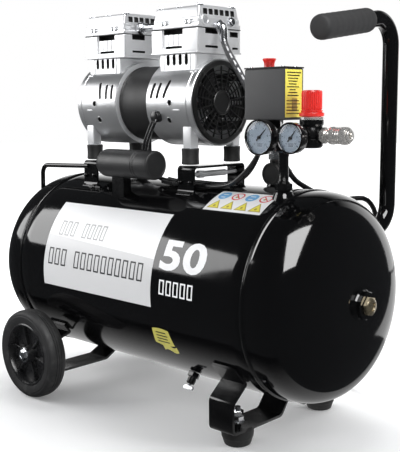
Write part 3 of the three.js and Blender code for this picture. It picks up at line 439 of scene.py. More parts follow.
    def cut(self, other):
        """Takes the other piece's shapes away from this one's."""
        made = []
        for piece in (self, other):
            mesh = bpy.data.meshes.new("scratch")
            piece.bm.to_mesh(mesh)
            made.append(bpy.data.objects.new("scratch", mesh))
            scene.collection.objects.link(made[-1])
        mod = made[0].modifiers.new("cut", "BOOLEAN")
        mod.operation, mod.object, mod.solver, mod.use_self = "DIFFERENCE", made[1], "EXACT", True
        mesh = bpy.data.meshes.new_from_object(made[0].evaluated_get(bpy.context.evaluated_depsgraph_get()))
        self.bm.free()
        self.bm = bmesh.new()
        self.bm.from_mesh(mesh)
        for ob in made:
            bpy.data.objects.remove(ob)
        return self

    def done(self, name, mats, body="frame_body", swap=(), sharp=34, edge=0.0, slot=None):
        bmesh.ops.transform(self.bm, matrix=Matrix.Scale(0.001, 4) @ Matrix.Translation((SHIFT, 0, AXIS)),
                            verts=self.bm.verts)
        for f in self.bm.faces:
            f.smooth = True
        limit = math.radians(sharp)      # edges turned by more than this stay crisp
        for e in self.bm.edges:
            e.smooth = len(e.link_faces) == 2 and e.calc_face_angle(0) < limit
        me = bpy.data.meshes.new(name)
        self.bm.to_mesh(me)
        self.bm.free()
        for m in ([mats] if isinstance(mats, str) else mats):
            me.materials.append(MAT[m])
        ob = bpy.data.objects.new(name, me)
        scene.collection.objects.link(ob)
        if edge:
            mod = ob.modifiers.new("edges", "BEVEL")
            mod.width, mod.segments, mod.limit_method = edge / 1000, 2, "ANGLE"
            mod.angle_limit = math.radians(38)
            mod.harden_normals = True
        if swap:
            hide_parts(*([swap] if isinstance(swap, str) else swap))
        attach(ob, body)
        return ob


def rounded(corners, radii, step=8):
    """Points of a line through corners, each corner bent to its radius."""
    pts = [Vector(c) for c in corners]
    out = [pts[0]]
    for i, r in zip(range(1, len(pts) - 1), radii):
        a, b = (pts[i - 1] - pts[i]).normalized(), (pts[i + 1] - pts[i]).normalized()
        half = a.angle(b) / 2
        mid = pts[i] + (a + b).normalized() * r / math.sin(half)
        p, q = pts[i] + a * r / math.tan(half) - mid, pts[i] + b * r / math.tan(half) - mid
        w = p.angle(q)
        for k in range(step + 1):
            out.append((p * math.sin((1 - k / step) * w) + q * math.sin(k / step * w)) / math.sin(w) + mid)
    return out + [pts[-1]]


def smooth_line(points, steps):
    """A smooth curve through points, as evenly spaced points."""
    p = [Vector(v) for v in points]
    p = [p[0] * 2 - p[1]] + p + [p[-1] * 2 - p[-2]]
    fine = []
    for i in range(1, len(p) - 2):
        t = [0.0]
        for k in range(3):
            t.append(t[-1] + max((p[i + k] - p[i + k - 1]).length, 1e-6) ** 0.5)
        for k in range(16):
            u = t[1] + (t[2] - t[1]) * k / 16
            a = [p[i + j - 1] * ((t[j + 1] - u) / (t[j + 1] - t[j])) + p[i + j] * ((u - t[j]) / (t[j + 1] - t[j]))
                 for j in range(3)]
            b = [a[j] * ((t[j + 2] - u) / (t[j + 2] - t[j])) + a[j + 1] * ((u - t[j]) / (t[j + 2] - t[j]))
                 for j in range(2)]
            fine.append(b[0] * ((t[2] - u) / (t[2] - t[1])) + b[1] * ((u - t[1]) / (t[2] - t[1])))
    fine.append(p[-2])
    run = [0.0]
    for a, b in zip(fine, fine[1:]):
        run.append(run[-1] + (b - a).length)
    out, j = [], 0
    for s in range(steps + 1):
        want = run[-1] * s / steps
        while j < len(run) - 2 and run[j + 1] < want:
            j += 1
        f = (want - run[j]) / max(run[j + 1] - run[j], 1e-9)
        out.append(fine[j].lerp(fine[j + 1], f))
    return out


print("tools ready")

# %% [markdown]
# ## The mains lead
# A free cable leaves a gland under the switch, crosses the tank, drops behind it and lies in a small coil with
# its plug. It has one real length, so its whole centre line is laid out first and the tube is drawn on it.
# The turns of the coil sit beside and on each other one diameter apart, and change place one at a time.

# %% The line of the mains lead
FLOOR = -AXIS + 4.2                # height of the cable's centre line when it lies on the ground
route = smooth_line([(206, -13.6, 250), (206, -13.6, 242), (206, -11, 218), (207, 3, 190), (209, 24, 167),
                     (212, 50, 153),
                     (217, 80, 139.5), (225, 108, 128), (236, 136, 131), (247, 160, 129), (252, 178, 110), (248,
                             190, 78),
                     (240, 197, 20), (232, 198, -60), (220, 200, -139.8), (206, 206, -184.8), (184, 216, FLOOR + 4),
                     (160, 221, FLOOR + 0.4), (130, 221.6, FLOOR), (100, 221.6, FLOOR), (60, 221.6, FLOOR)], 76)


def ease(a, b, t):
    """Goes smoothly from 0 at a to 1 at b."""
    t = max(0.0, min(1.0, (t - a) / (b - a)))
    return t * t * (3 - 2 * t)


def coil_point(tau):
    """Where the lead is after turning tau degrees round the coil."""
    r = 52.4 - 8.3 * ease(0, 60, tau) - 8.1 * ease(215, 275, tau) + 8.1 * ease(815, 875, tau)
    z = FLOOR + 8.2 * ease(515, 575, tau)
    return Vector((60 - r * math.sin(math.radians(tau)), 274 - r * math.cos(math.radians(tau)), z))


coil = [coil_point(t) for t in range(12, 1129, 12)]
leave = smooth_line([coil[-2], coil[-1], (15.5, 262.5, FLOOR + 7.6), (2, 270.5, FLOOR + 5.6),
                     (-12, 274, FLOOR + 3.9),
                     (-26, 274, FLOOR + 3.8)], 14)[3:]
lead_line = route + coil[:-1] + [p for p in leave if p.x < coil[-1].x - 1]

# %% The lead, its strain relief and its plug
lead = Piece().draw(lead_line, 4, 20).done("mains_cable", "lead", swap=("mains_lead", "mains_lead_coil"), sharp=60,
                                           slot="lead")
relief = Piece().draw(route[:5], 5.6, 24, wave=lambda f: 1.25 - 0.42 * f + 0.05 * math.sin(f * 38))
relief.done("mains_strain_relief", "rubber", slot="rubber")
plug = Piece().box((-70, 259, -AXIS + 0.3), (-40, 289, -AXIS + 26), 6)
plug.slab([(259.5, -AXIS + 3), (288.5, -AXIS + 3), (284, -AXIS + 23), (264, -AXIS + 23)], -41, -34, "x", 1.5)
plug.turn([(0, -37), (7.5, -37), (7.5, -33), (6.2, -32), (6.6, -30), (5.8, -29), (6.2, -27), (5.4, -26),
           (5.8, -24), (5, -23),
           (5, -15), (4.4, -12), (0, -12)], "x", (0, 274, FLOOR + 3.8))
for i in range(5):
    plug.box((-64 + 5 * i, 258.2, -AXIS + 5), (-62 + 5 * i, 289.8, -AXIS + 21), 0.7)
for y in (266, 282):
    plug.rod(2.4, -89, -69, "x", (0, y, -AXIS + 13), 1, mat=1)
plug = plug.done("mains_plug_body", ("rubber", "brass"), swap="mains_plug", slot="lead")
print("plug and relief ready")

# %% [markdown]
# ## The tank
# The shell is one rolled sheet with a long seam, and each end is a deep-drawn dish whose rim slips inside it.
# The joint is a raised weld bead with a shallow step. Painted gloss black, the form is read only from its
# reflections, so the profile is turned finely and smoothly: any facet would show.

# %% Shell, dished ends and weld beads
def dish(radius, depth, start, steps=40):
    """The profile of a deep-drawn end, squarer than an ellipse."""
    out = []
    for i in range(steps + 1):
        a = math.pi / 2 * i / steps
        out.append((radius * (math.cos(a) ** (2 / POWER) if i < steps else 0),
                    start + depth * math.sin(a) ** (2 / POWER)))
    return out


shell = Piece()
shell.turn([(R - 3, -HALF), (R - 0.5, -HALF), (R, -HALF + 1)] + [(R,
        -HALF + 1 + (2 * HALF - 2) * i / 24) for i in range(1, 24)]
           + [(R, HALF - 1), (R - 0.5, HALF), (R - 3, HALF)], "x", seg=192, loop=True)
low = math.radians(-96)
seam = ((R - 0.2) * math.cos(low), (R - 0.2) * math.sin(low))
shell.draw([(-HALF + 3 + (2 * HALF - 6) * i / 150, *seam) for i in range(151)], 2.4, 8)
for (x, y, _), r0, r1 in ((RISER, 13, 16.5), (CHECK, 11, 14)):
    top = math.sqrt(R * R - y * y)
    shell.turn([(r1 + 1, top - 10), (r1, top - 3), (r0 + 1.5, top + 2.2), (r0, top + 5), (r0, top + 6.6),
                (r0 - 3, top + 6.8),
                (r0 - 3, top - 4)], "z", (x, y, 0), 48)
shell.done("tank_barrel", "enamel", swap="tank_shell", sharp=40, slot="tank_black")
for s, end in ((1, "outlet"), (-1, "wheel")):
    prof = [(R - 3.2, HALF - 12), (R - 3.2, HALF + 0.3)]
    prof += [(R - 0.4 + 1.7 * math.sin(math.pi * k / 8), HALF + 0.3 + 5.2 * k / 8) for k in range(9)]
    prof += [p for p in dish(R - 0.4, DOME - 0.2, HALF + 0.3) if p[1] > HALF + 5.6]
    dome = Piece().turn([(r, s * x) for r, x in prof], "x", seg=192)
    if s > 0:
        dome.turn([(26, HALF + DOME - 3.2), (24, HALF + DOME - 0.6), (21.5, HALF + DOME + 0.6),
                   (20, HALF + DOME + 3),
                   (20, HALF + DOME + 8.6), (19, HALF + DOME + 9.6), (10, HALF + DOME + 9.6), (10,
                           HALF + DOME - 3)],
                  "x", seg=64)
    dome.done(f"tank_end_{end}", "enamel", swap=f"tank_head_{end}_end", sharp=30, slot="tank_black")
    bead = Piece().turn([(R - 1.5, s * (HALF - 3)), (R + 0.2, s * (HALF - 2.4)), (R + 1.3, s * (HALF - 0.8)),
                         (R + 1.4, s * (HALF + 1)), (R + 0.4, s * (HALF + 3)), (R - 1.5,
                                 s * (HALF + 3.4))], "x", seg=192)
    bead.done(f"weld_bead_{end}", "weld", sharp=50, slot="tank_black")
px = HALF + DOME + 10               # face of the boss that the plug closes
plug = Piece().nut(25, px - 0.2, px + 5.6, "x", phase=0.3).turn(
    [(12, px + 5.4), (11.2, px + 6.4), (9, px + 7.4), (6, px + 7.8), (5.2, px + 5.5), (0, px + 5.5)], "x", seg=48)
plug.rod(9.6, px - 14, px, "x")
plug.done("end_plug", "brass", swap="tank_end_plug", slot="brass")
print("tank ready")

# %% [markdown]
# ## Labels on the shell
# The printed films are thin sheets that follow the round shell. They are made as curved patches a few
# hundredths of a millimetre proud. The wording is replaced by plain bars and blank shapes.

# %% Curved patches
def patch(piece, x0, x1, a0, a1, lift, mat=0, cut=None, nx=16, na=16):
    """A rectangle of film: x along the tank, a in degrees up from the front. cut trims it by a rule."""
    b = bmesh.new()
    grid = []
    for i in range(nx + 1):
        row = []
        for j in range(na + 1):
            x, a = x0 + (x1 - x0) * i / nx, a0 + (a1 - a0) * j / na
            if cut:
                x, a = cut(x, a, i / nx, j / na)
            t = math.radians(a)
            row.append(b.verts.new((x, -(R + lift) * math.cos(t), (R + lift) * math.sin(t))))
        grid.append(row)
    for i in range(nx):
        for j in range(na):
            b.faces.new((grid[i][j], grid[i + 1][j], grid[i + 1][j + 1], grid[i][j + 1]))
    return piece.add(b, mat)


def wrap(b, lift):
    """Slices a flat drawing (x, height above the front line) finely and lays it on the round shell."""
    lo, hi = min(v.co.y for v in b.verts), max(v.co.y for v in b.verts)
    for k in range(1, int((hi - lo) / 2) + 1):
        bmesh.ops.bisect_plane(b, geom=b.verts[:] + b.edges[:] + b.faces[:], plane_co=(0, lo + 2 * k, 0),
                               plane_no=(0, 1, 0))
    for v in b.verts:
        t = v.co.y / R
        v.co = (v.co.x, -(R + lift) * math.cos(t), (R + lift) * math.sin(t))
    return b


def spot(piece, x, a, r, lift, mat=0, sides=28):
    """A round (or three-sided) spot of ink on the film."""
    b = bmesh.new()
    start = math.pi / 2 if sides == 3 else 0
    b.faces.new([b.verts.new((x + r * math.cos(start + 2 * math.pi * k / sides),
                              R * math.radians(a) + r * math.sin(start + 2 * math.pi * k / sides),
                              0)) for k in range(sides)])
    return piece.add(wrap(b, lift), mat)


def blank_letters(piece, x, a, count, wide, tall, gap, stroke, lift, mat, skip=()):
    """Empty letter boxes where the wording would stand."""
    low = R * math.radians(a)
    for k in range(count):
        if k in skip:
            continue
        b = bmesh.new()
        x0, x1, y0, y1 = x + k * (wide + gap), x + k * (wide + gap) + wide, low, low + tall
        for p0, q0, p1, q1 in ((x0, y0, x0 + stroke, y1), (x1 - stroke, y0, x1, y1),
                               (x0 + stroke, y0, x1 - stroke, y0 + stroke),
                               (x0 + stroke, y1 - stroke, x1 - stroke, y1)):
            b.faces.new([b.verts.new((p, q, 0)) for p, q in ((p0, q0), (p1, q0), (p1, q1), (p0, q1))])
        piece.add(wrap(b, lift), mat)


film = Piece()
patch(film, -186, 79, -6.7, 47.9, 0.12, 0, na=40)
patch(film, -186, 79, -6.7, 20.0, 0.17, 1, lambda x, a, u, v: (x, -6.7 + v * (26.5 + 5.2 * (1 - u))), na=24)
blank_letters(film, -161, 25.0, 8, 10.5, 26, 4.5, 2.2, 0.24, 3, skip=(3,))
blank_letters(film, -174, 6.4, 14, 12.0, 28, 5.0, 2.4, 0.26, 2, skip=(3,))
film.done("main_label", ("white", "silver", "ink", "pale"), sharp=60)


def numbers(text, size, **settings):
    """Numbers as a flat sheet."""
    data = bpy.data.curves.new("numbers", "FONT")
    data.body, data.size = text, size
    for key, value in settings.items():
        setattr(data, key, value)
    ob = bpy.data.objects.new("numbers", data)
    scene.collection.objects.link(ob)
    mesh = bpy.data.meshes.new_from_object(ob.evaluated_get(bpy.context.evaluated_depsgraph_get()))
    bpy.data.objects.remove(ob)
    b = bmesh.new()
    b.from_mesh(mesh)
    return b


def figures(text, x, a, height, width, lift, bold):
    """Numbers cut from film and laid on the round shell."""
    b = numbers(text, 1.0, resolution_u=4, offset=bold, space_character=1.06)
    lo = [min(v.co[i] for v in b.verts) for i in range(2)]
    hi = [max(v.co[i] for v in b.verts) for i in range(2)]
    for v in b.verts:
        u, w = (v.co.x - lo[0]) / (hi[0] - lo[0]), (v.co.y - lo[1]) / (hi[1] - lo[1])
        v.co = (x + u * width, R * math.radians(a) + w * height, 0)
    return wrap(b, lift)


marks = Piece().add(figures("50", 92, 15.0, 47, 90, 0.16, 0.032))
blank_letters(marks, 97, 1.6, 5, 10.5, 22, 4.0, 2.4, 0.15, 0)
marks.done("size_marks", "white", sharp=60)
notice = Piece()
patch(notice, 126, 236, 54.2, 73.6, 0.14, 0, na=20)
for i in range(4):
    x = 141 + 26.5 * i
    spot(notice, x, 68.4, 10.8, 0.2, 1 if i % 2 == 0 else 2, 32)
    if i % 2:
        spot(notice, x, 68.4, 8.4, 0.25, 0, 28)
        for k in range(9):
            spot(notice, x - 5.2 + 1.3 * k, 68.4 + (5.2 - 1.3 * k) / 2.72, 1.1, 0.3, 2, 8)
        spot(notice, x - 1, 67.6, 2.6, 0.28, 4, 10)
    else:
        patch(notice, x - 5, x + 5, 69.2, 70.0, 0.25, 0, nx=4, na=2)
        patch(notice, x - 4, x + 4, 66.2, 67.0, 0.25, 0, nx=4, na=2)
    spot(notice, x + 0.6, 58.6, 13.4, 0.2, 4, 3)
    spot(notice, x + 0.6, 58.6, 10.4, 0.25, 3, 3)
    spot(notice, x + 0.6, 58.2, 2.4, 0.3, 4, 10)
notice.done("notice_label", ("white", "blue", "signal", "yellow", "ochre"), sharp=60)
badge = Piece()
patch(badge, 70, 108, -29.6, -19.6, 0.14, 0, lambda x, a, u, v: (x + (0.5 - v) * 3.4 * (2 * u - 1),
        a - 1.3 * math.sin(math.pi * u) * (1 - 1.6 * v)))
patch(badge, 82, 112, -34.6, -30.4, 0.14, 0, lambda x, a, u, v: (x, a + 1.0 * math.sin(2 * math.pi * u)))
for k in range(4):
    patch(badge, 76 + 0.6 * k, 101 - 2 * (k % 2), -28.4 + 2.1 * k, -27.6 + 2.1 * k, 0.2, 1, na=2)
badge.done("yellow_badge", ("olive", "ink"), sharp=60)
print("labels ready")

# %% [markdown]
# ## Legs, feet and wheels
# The legs are flat steel strips bent in a press and spot-welded to the tank, so each is one strip profile given
# its width. The feet are rubber cups with a zinc nut, and the wheels are moulded rims in solid rubber tyres.

# %% Bent strips
def strip(line, t):
    """The outline of a bent strip of thickness t that follows a line of (y, z)."""
    n, far = len(line), []
    for i in range(n):
        a, b, c = line[max(i - 1, 0)], line[i], line[min(i + 1, n - 1)]

        def unit(p, q):
            l = math.hypot(q[0] - p[0], q[1] - p[1])
            return (-(q[1] - p[1]) / l, (q[0] - p[0]) / l)
        m, k = (unit(b, c) if i == 0 else unit(a, b)), (unit(a, b) if i == n - 1 else unit(b, c))
        d = 1 + m[0] * k[0] + m[1] * k[1]
        far.append((b[0] + t * (m[0] + k[0]) / d, b[1] + t * (m[1] + k[1]) / d))
    return list(line) + far[::-1]


def bent(corners, r):
    """Corners of (y, z), each bent to a radius."""
    return [(p.y, p.z) for p in rounded([(0, y, z) for y, z in corners], [r] * (len(corners) - 2), 5)]


def edge_y(z):
    """How far out the tank's side is at a height."""
    return math.sqrt(R * R - z * z)


for s, side in ((-1, "front"), (1, "rear")):
    under, hub, axle = (FOOT_X, s * FOOT_Y, 0), (WHEEL_X, s * WHEEL_Y, WHEEL_Z), (WHEEL_X, 0, WHEEL_Z)
    foot = [(edge_y(-88) + 1.2, -88), (edge_y(-117) + 1.6, -117), (134, -141), (134, -183), (28, -183), (9, -159)]
    leg = Piece().slab([(s * y, z) for y, z in strip(bent(foot, 4), s * -4)], FOOT_X - 23, FOOT_X + 23, "x", 0.7)
    leg.rod(9, -179.2, -177.6, "z", under, 0.5)
    leg.done(f"foot_bracket_{side}", "black_steel", swap=f"foot_leg_{side}", slot="black_steel")
    cup = Piece().turn([(0, -AXIS), (17.5, -AXIS), (19.5, -AXIS + 1.2), (20.6, -AXIS + 4), (22, -AXIS + 9),
                        (22.4, -AXIS + 11),
                        (23.4, -AXIS + 12), (24, -AXIS + 16), (24.3, -AXIS + 20), (24.3, -AXIS + 27), (23.4,
                                -AXIS + 28.6),
                        (5, -AXIS + 28.6), (5, -178), (0, -178)], "z", under, 64)
    cup.nut(16, -177.4, -169.4, "z", under, mat=1, phase=0.4)
    cup.nut(16, -168.8, -161.4, "z", under, mat=1, phase=0.9)
    cup.rod(4.6, -171, -155.6, "z", under, 0.8, mat=1)
    cup.ring(4.4, 10.6, -179, -177.4, "z", under, 0.3, mat=1)
    cup.done(f"foot_{side}", ("rubber", "zinc"), swap=f"rubber_foot_{side}", slot="rubber")
    frame_line = [(edge_y(-92) + 1.2, -92), (edge_y(-110) + 2.4, -110), (154, -122), (154, -172), (38, -172),
                  (11, -157.5)]
    leg = Piece().slab([(s * y, z) for y, z in strip(bent(frame_line, 4), s * -4)], WHEEL_X - 23, WHEEL_X + 23,
                       "x", 0.7)
    leg.done(f"wheel_bracket_{side}", "black_steel", swap=f"wheel_leg_{side}", slot="black_steel")

    tread = [(53.4, -14.6), (57, -15.8), (62, -16.6), (65, -16.9), (66, -16.2), (67.4, -16.4), (70.5, -15.4),
             (72.8, -13),
             (74.2, -9.6), (74.8, -7), (75, -5.2), (73.9, -5), (73.9, -4.2), (75, -4), (75, -0.5), (73.9, -0.3)]
    tread += [(r, -y) for r, y in tread[::-1]]
    Piece().turn([(r, s * y) for r, y in tread], "y", hub, 144, loop=True).done(
        f"tyre_{side}", "tyre", f"wheel_{side}", f"tyre_{side}", 30, slot="tyre")
    rim = Piece().turn([(53.2, -s * 14.6), (53.2, s * 14.6), (51.5, s * 15.6), (50, s * 15.2), (48.4, s * 13),
                        (47.4, s * 4),
                        (47.4, -s * 4), (48.4, -s * 13), (50, -s * 15), (51.5,
                                -s * 15.6)], "y", hub, 128, loop=True)
    rim.turn([(6.5, -s * 16), (6.5, s * 17.4), (11, s * 17.4), (13, s * 16), (14.4, s * 8), (16, s * 3),
              (16, -s * 3),
              (14, -s * 9), (13, -s * 16)], "y", hub, 64, loop=True)
    for k in range(6):
        w = math.radians(60 * k + 12)
        spin = Matrix.Translation(hub) @ Matrix.Rotation(w, 4, "Y")
        rim.slab([(13, -6.4), (22, -5), (36, -5.4), (48.5, -9.4), (48.5, 9.4), (36, 5.4), (22, 5), (13, 6.4)],
                 -2.6, 2.6, "y",
                 0.8, move=spin)
        rim.box((13, -8 if s < 0 else -3, -1.5), (48.6, 3 if s < 0 else 8, 1.5), 0.6, move=spin)
    rim.ring(13, 48.4, -1.6, 1.6, "y", hub, 0.4)
    rim.done(f"wheel_disc_{side}", "rim", f"wheel_{side}", f"wheel_rim_{side}", 30, slot="black_plastic")
    bolt = Piece()
    bolt.rod(5.9, s * 140, s * 197, "y", axle)
    bolt.ring(6, 12.4, *span(s, 197.6, 199.2), "y", axle, 0.4)
    bolt.nut(17, *span(s, 199, 203), "y", axle, phase=0.2)
    bolt.turn([(7.6, s * 202.6), (6.6, s * 203.6), (4, s * 203.9), (3.6, s * 202.4), (0, s * 202.4)], "y", axle, 48)
    bolt.nut(17, *span(s, 142, 149.6), "y", axle)
    bolt.done(f"axle_bolt_{side}", "zinc", swap=f"axle_bolt_{side}", slot="zinc_steel")
print("undercarriage ready")

# %% [markdown]
# ## Pull handle
# One steel tube, bent twice and welded to the side of the dished end. The grip is a foam sleeve pushed on,
# so it is slightly barrelled and rough, with a closed, rounded end.

# %% Handle tube and grip
BAR_X, BAR_Y, TOP_Z = 280, 170, 412
fall = math.radians(8.5)


def along(d):
    """A point d millimetres along the sloping grip."""
    return BAR_X, BAR_Y - d * math.cos(fall), TOP_Z - d * math.sin(fall)


bar = Piece().draw(rounded([(BAR_X, 112, 85), (BAR_X, BAR_Y, 85), (BAR_X, BAR_Y, TOP_Z), along(186)], [40, 38], 20),
                   12.5, 48)
bar.done("handle_bar", "enamel", swap="handle_tube", sharp=50, slot="black_steel")
turn_up = Matrix.Translation(along(190.5)) @ Matrix.Rotation(fall, 4, "X")
grip = Piece().turn([(0, -0.4), (9, -0.2), (14.5, 0.8), (17, 3), (17.8, 6.5)] + [
    (17.9 + 0.12 * math.sin(i * 1.3), 8 + 108 * i / 40) for i in range(41)] + [
    (17.8, 119), (17, 122.4), (15, 124), (12.8, 124.2), (12.8, 118)], "y", move=turn_up)
grip.done("handle_foam", "foam", swap="handle_grip", sharp=50, slot="rubber")
print("handle ready")

# %% [markdown]
# ## Pump brackets and rubber mounts
# Two pressed steel bridges carry the pump. Each has a flat top, two legs welded to the tank and two soft
# buffers, which keep the shake of the motor out of the tank.

# %% Brackets, buffers and the lead hook
for s, side in ((1, "outlet_end"), (-1, "wheel_end")):
    x = PUMP + s * 116.5
    line = [(-67, 138), (-60, 147), (-60, 185.7), (60, 185.7), (60, 147), (67, 138)]
    bridge = Piece().slab(strip(bent(line, 6), -3.6), x - 17.5, x + 17.5, "x", 0.8)
    bridge.box((x - 15.6, -57, 181.8), (x + 15.6, 57, 184.2), 1.0)
    for t in (-1, 1):
        for e in (-11, 11):
            bridge.turn([(0, 0), (3.4, 0), (3, t * 2.2), (1.6, t * 3), (0, t * 3.1)], "y", (x + e, t * 61.8, 160),
                        20)
        bridge.draw([(x - 15 + 30 * i / 20, t * 63.4, 141 + 0.5 * math.sin(i * 2.1)) for i in range(21)], 2.6, 10,
                    mat=1)
    if s < 0:
        bridge.draw(rounded([(x - 5, -60, 176), (-312, -60, 172), (-314, -60, 118)], [16], 10), 4, 20)
    bridge.done(f"bracket_{side}", ("enamel", "weld"), swap=f"mount_bracket_{side}", sharp=40, slot="black_steel")
    for t, face in ((-1, "front"), (1, "rear")):
        at = (x, t * 48.6, 0)
        wall = [(13.4, 188.4), (13.8, 189.4)] + [(13.8 - 0.5 * math.sin(math.pi * k / 12),
                                                  190 + 21 * k / 12) for k in range(13)]
        pad = Piece().turn([(0, 188.2)] + wall + [(13.8, 211.6), (13.4, 212.8), (0, 212.8)], "z", at, 48)
        pad.ring(5, 12.6, 187.8, 189.0, "z", at, 0.3, mat=1).ring(5, 12.6, 212.2, 213.1, "z", at, 0.3, mat=1)
        pad.nut(13, 175.5, 181.6, "z", at, mat=1)
        pad.done(f"buffer_{side}_{face}", ("rubber", "zinc"), swap=f"rubber_mount_{side}_{face}", slot="rubber")
across = (PUMP + 118, 0, 171.5)
tie = Piece().rod(3.2, -57, 57, "y", across, 0.8)
tie.nut(11.5, -34, -22, "y", across).ring(3.3, 4.9, -21.6, 30, "y", across, 0.5)
tie.done("bracket_tie_rod", "cast", slot="zinc_steel")
print("mounts ready")

# %% [markdown]
# ## Motor and crankcases
# A single motor drives both ends. Each crankcase is a pressure die casting: blasted skin, thick walls with
# slots, a square neck and two feet. The slots are cut through by subtracting blocks, and a fine bevel breaks
# every edge, which is what makes cast metal read as metal.

# %% Half a pump, drawn for one end and mirrored for the other
def pump_side(piece, s):
    """Mirrors a piece drawn round the pump's middle for the far end, then puts it in its place."""
    if s < 0:
        bmesh.ops.scale(piece.bm, vec=(-1, 1, 1), verts=piece.bm.verts)
        bmesh.ops.reverse_faces(piece.bm, faces=piece.bm.faces)
    bmesh.ops.translate(piece.bm, vec=(PUMP, 0, 0), verts=piece.bm.verts)
    return piece


def round_slot(width, length, depth, lean, at):
    """A cutter with rounded ends, pushed along y."""
    half, r = length / 2 - width / 2, width / 2
    pts = [(r * math.cos(math.pi * k / 8), half + r * math.sin(math.pi * k / 8)) for k in range(9)]
    pts += [(-x, -z) for x, z in pts]
    m = Matrix.Translation(at) @ Matrix.Rotation(math.radians(lean), 4, "Y")
    return Piece().slab(pts, -depth, depth, "y", 0, move=m)


def crankcase():
    """A drum with a square neck and two feet, then its slots, holes, ribs and screws."""
    body = Piece().turn([(66, 36.3), (67.6, 37), (68, 38.5), (68, 125.2), (67.2, 126), (67.2, 127), (68, 127.4),
                         (67.4, 128.3),
                         (62, 128.3), (62, 42.3), (40, 42.3), (40, 36.3)], "x", AX, 128, loop=True)
    body.ring(9, 41, 38, 43, "x", AX)
    neck = Piece().box((48, -46, 303), (128, 46, 358.2), 2.5)
    neck.cut(Piece().turn([(0, 42.3), (62, 42.3), (62, 129), (0, 129)], "x", AX, 96))
    neck.cut(Piece().box((56, -38, 300), (120, 38, 362), 3))
    body.join(neck)
    for y in (-1, 1):
        foot = Piece().side_box(y, (108.6, 40, 213.2), (126.4, 57.6, 247), 2.4)
        body.join(foot.cut(Piece().turn([(0, 42.3), (63, 42.3), (63, 131), (0, 131)], "x", AX, 96)))
    cutters = Piece()
    for y in (-1, 1):
        for d, z, length, lean in ((50, 302, 25, 9), (63.5, 302, 25, 9), (80.5, 304, 29, 16)):
            cutters.join(round_slot(5.6, length, 12, lean, (d, y * 60, z)))
        for k in range(4):
            cutters.join(round_slot(7.0, 17, 14, 0, (66.6 + 13.4 * k, y * 46, 349.4)))
        for d, z in ((91, 283), (85, 256)):
            cutters.rod(4.2, y * 48, y * 76, "y", (d, 0, z), 0.1, 24)

    # Slot walls and the inside of the neck take the black gasket finish as painted shade; the drum's outer skin
    # takes the drum finish.
    def drum_skin_or_slot_shade(c):
        out = math.hypot(c.y, c.z - MOTOR)
        slot_wall_shade = 61.4 < out < 66.8 and 44 < c.x < 97 and 240 < c.z < 330 and abs(c.y) > 36
        neck_inside_shade = 36 < abs(c.y) < 45.4 and 60 < c.x < 112 and 340 < c.z < 357.8
        return 2 if slot_wall_shade or neck_inside_shade else 1 if 66.9 < out < 68.2 and c.z < 340 else 0

    body.cut(cutters).paint(drum_skin_or_slot_shade)
    for y in (-1, 1):
        for d in (58.4, 114.8):
            body.side_box(y, (d - 0.8, 44, 330), (d + 0.8, 46.9, 357), 0.5)
        for d, z, q in ((91, 283, 68), (85, 256, 62.4)):
            tip = Matrix.Rotation(-y * math.asin((MOTOR - z) / 68), 4, "X")
            body.ring(4.3, 6.0, -0.6, 0.4, "y", ORIGIN, 0.4, 32, 1, Matrix.Translation((d, y * q, z)) @ tip)
        body.side_box(y, (98, 66, 271), (112, 68.1, 273.2), 0.4)
    for k in range(4):
        w = math.radians(45 + 90 * k)
        body.rod(4, 118, 128.2, "x", (0, 65.4 * math.cos(w), MOTOR + 65.4 * math.sin(w)), 0.6, 24)
    return body


def shade_hollows(piece, hollows, mat):
    """Paints the inside faces of hollows, listed as boxes, with a dark finish: painted shade in the recesses."""
    for f in piece.bm.faces:
        c = f.calc_center_median()
        if any(all(lo[i] - 0.1 <= c[i] <= hi[i] + 0.1 for i in range(3)) for lo, hi in hollows):
            f.material_index = mat


def block():
    """The cylinder block between neck and head, with pockets on all four sides."""
    core = Piece().box((32.6, -49.4, 360.4), (134.4, 49.4, 396.2), 2)
    shallow, deep = Piece(), []
    for y in (-1, 1):
        shallow.side_box(y, (57, 46.6, 366.4), (103, 60, 400), 1.6)
        for x0, near, z0, x1, z1 in ((58.5, 34, 388, 101, 399), (62, 38, 366.8, 98, 370.4)):
            y0, y1 = span(y, near, 60)
            deep.append(((x0, y0, z0), (x1, y1, z1)))
    for x0, x1 in ((26, 44), (123, 140)):
        for y0, z0, y1, z1 in ((-32, 388, -4, 399), (24, 385, 43, 393), (-32, 366.8, -4, 370.2),
                               (30, 366, 43, 369.2)):
            deep.append(((x0, y0, z0), (x1, y1, z1)))
    core.cut(shallow)
    holes = Piece()
    for lo, hi in deep:
        holes.box(lo, hi, 0.6)
    core.cut(holes)
    # The insides of the pockets take the black gasket finish: painted shade.
    shade_hollows(core, [((max(lo[0], 33.4), max(lo[1], -48.6), lo[2]), (min(hi[0], 133.6), min(hi[1], 48.6), hi[2]))
                  for lo, hi in deep], 1)
    core.box((32, -50.8, 358.5), (135, 50.8, 361.4), 1.0)
    for y in (-1, 1):
        for d in (69, 80, 91):
            core.side_box(y, (d - 0.7, 45, 371), (d + 0.7, 47.6, 388), 0.5)
    for y in (-45.4, 45.4, 12):
        core.box((133.6, y - 0.7, 363), (135, y + 0.7, 394), 0.4)
        core.box((32, y - 0.7, 363), (33.2, y + 0.7, 394), 0.4)
    for z in (373.4, 377.4, 381.4):
        core.box((32.2, -43, z), (33.2, 43, z + 0.8), 0.3)
    return core


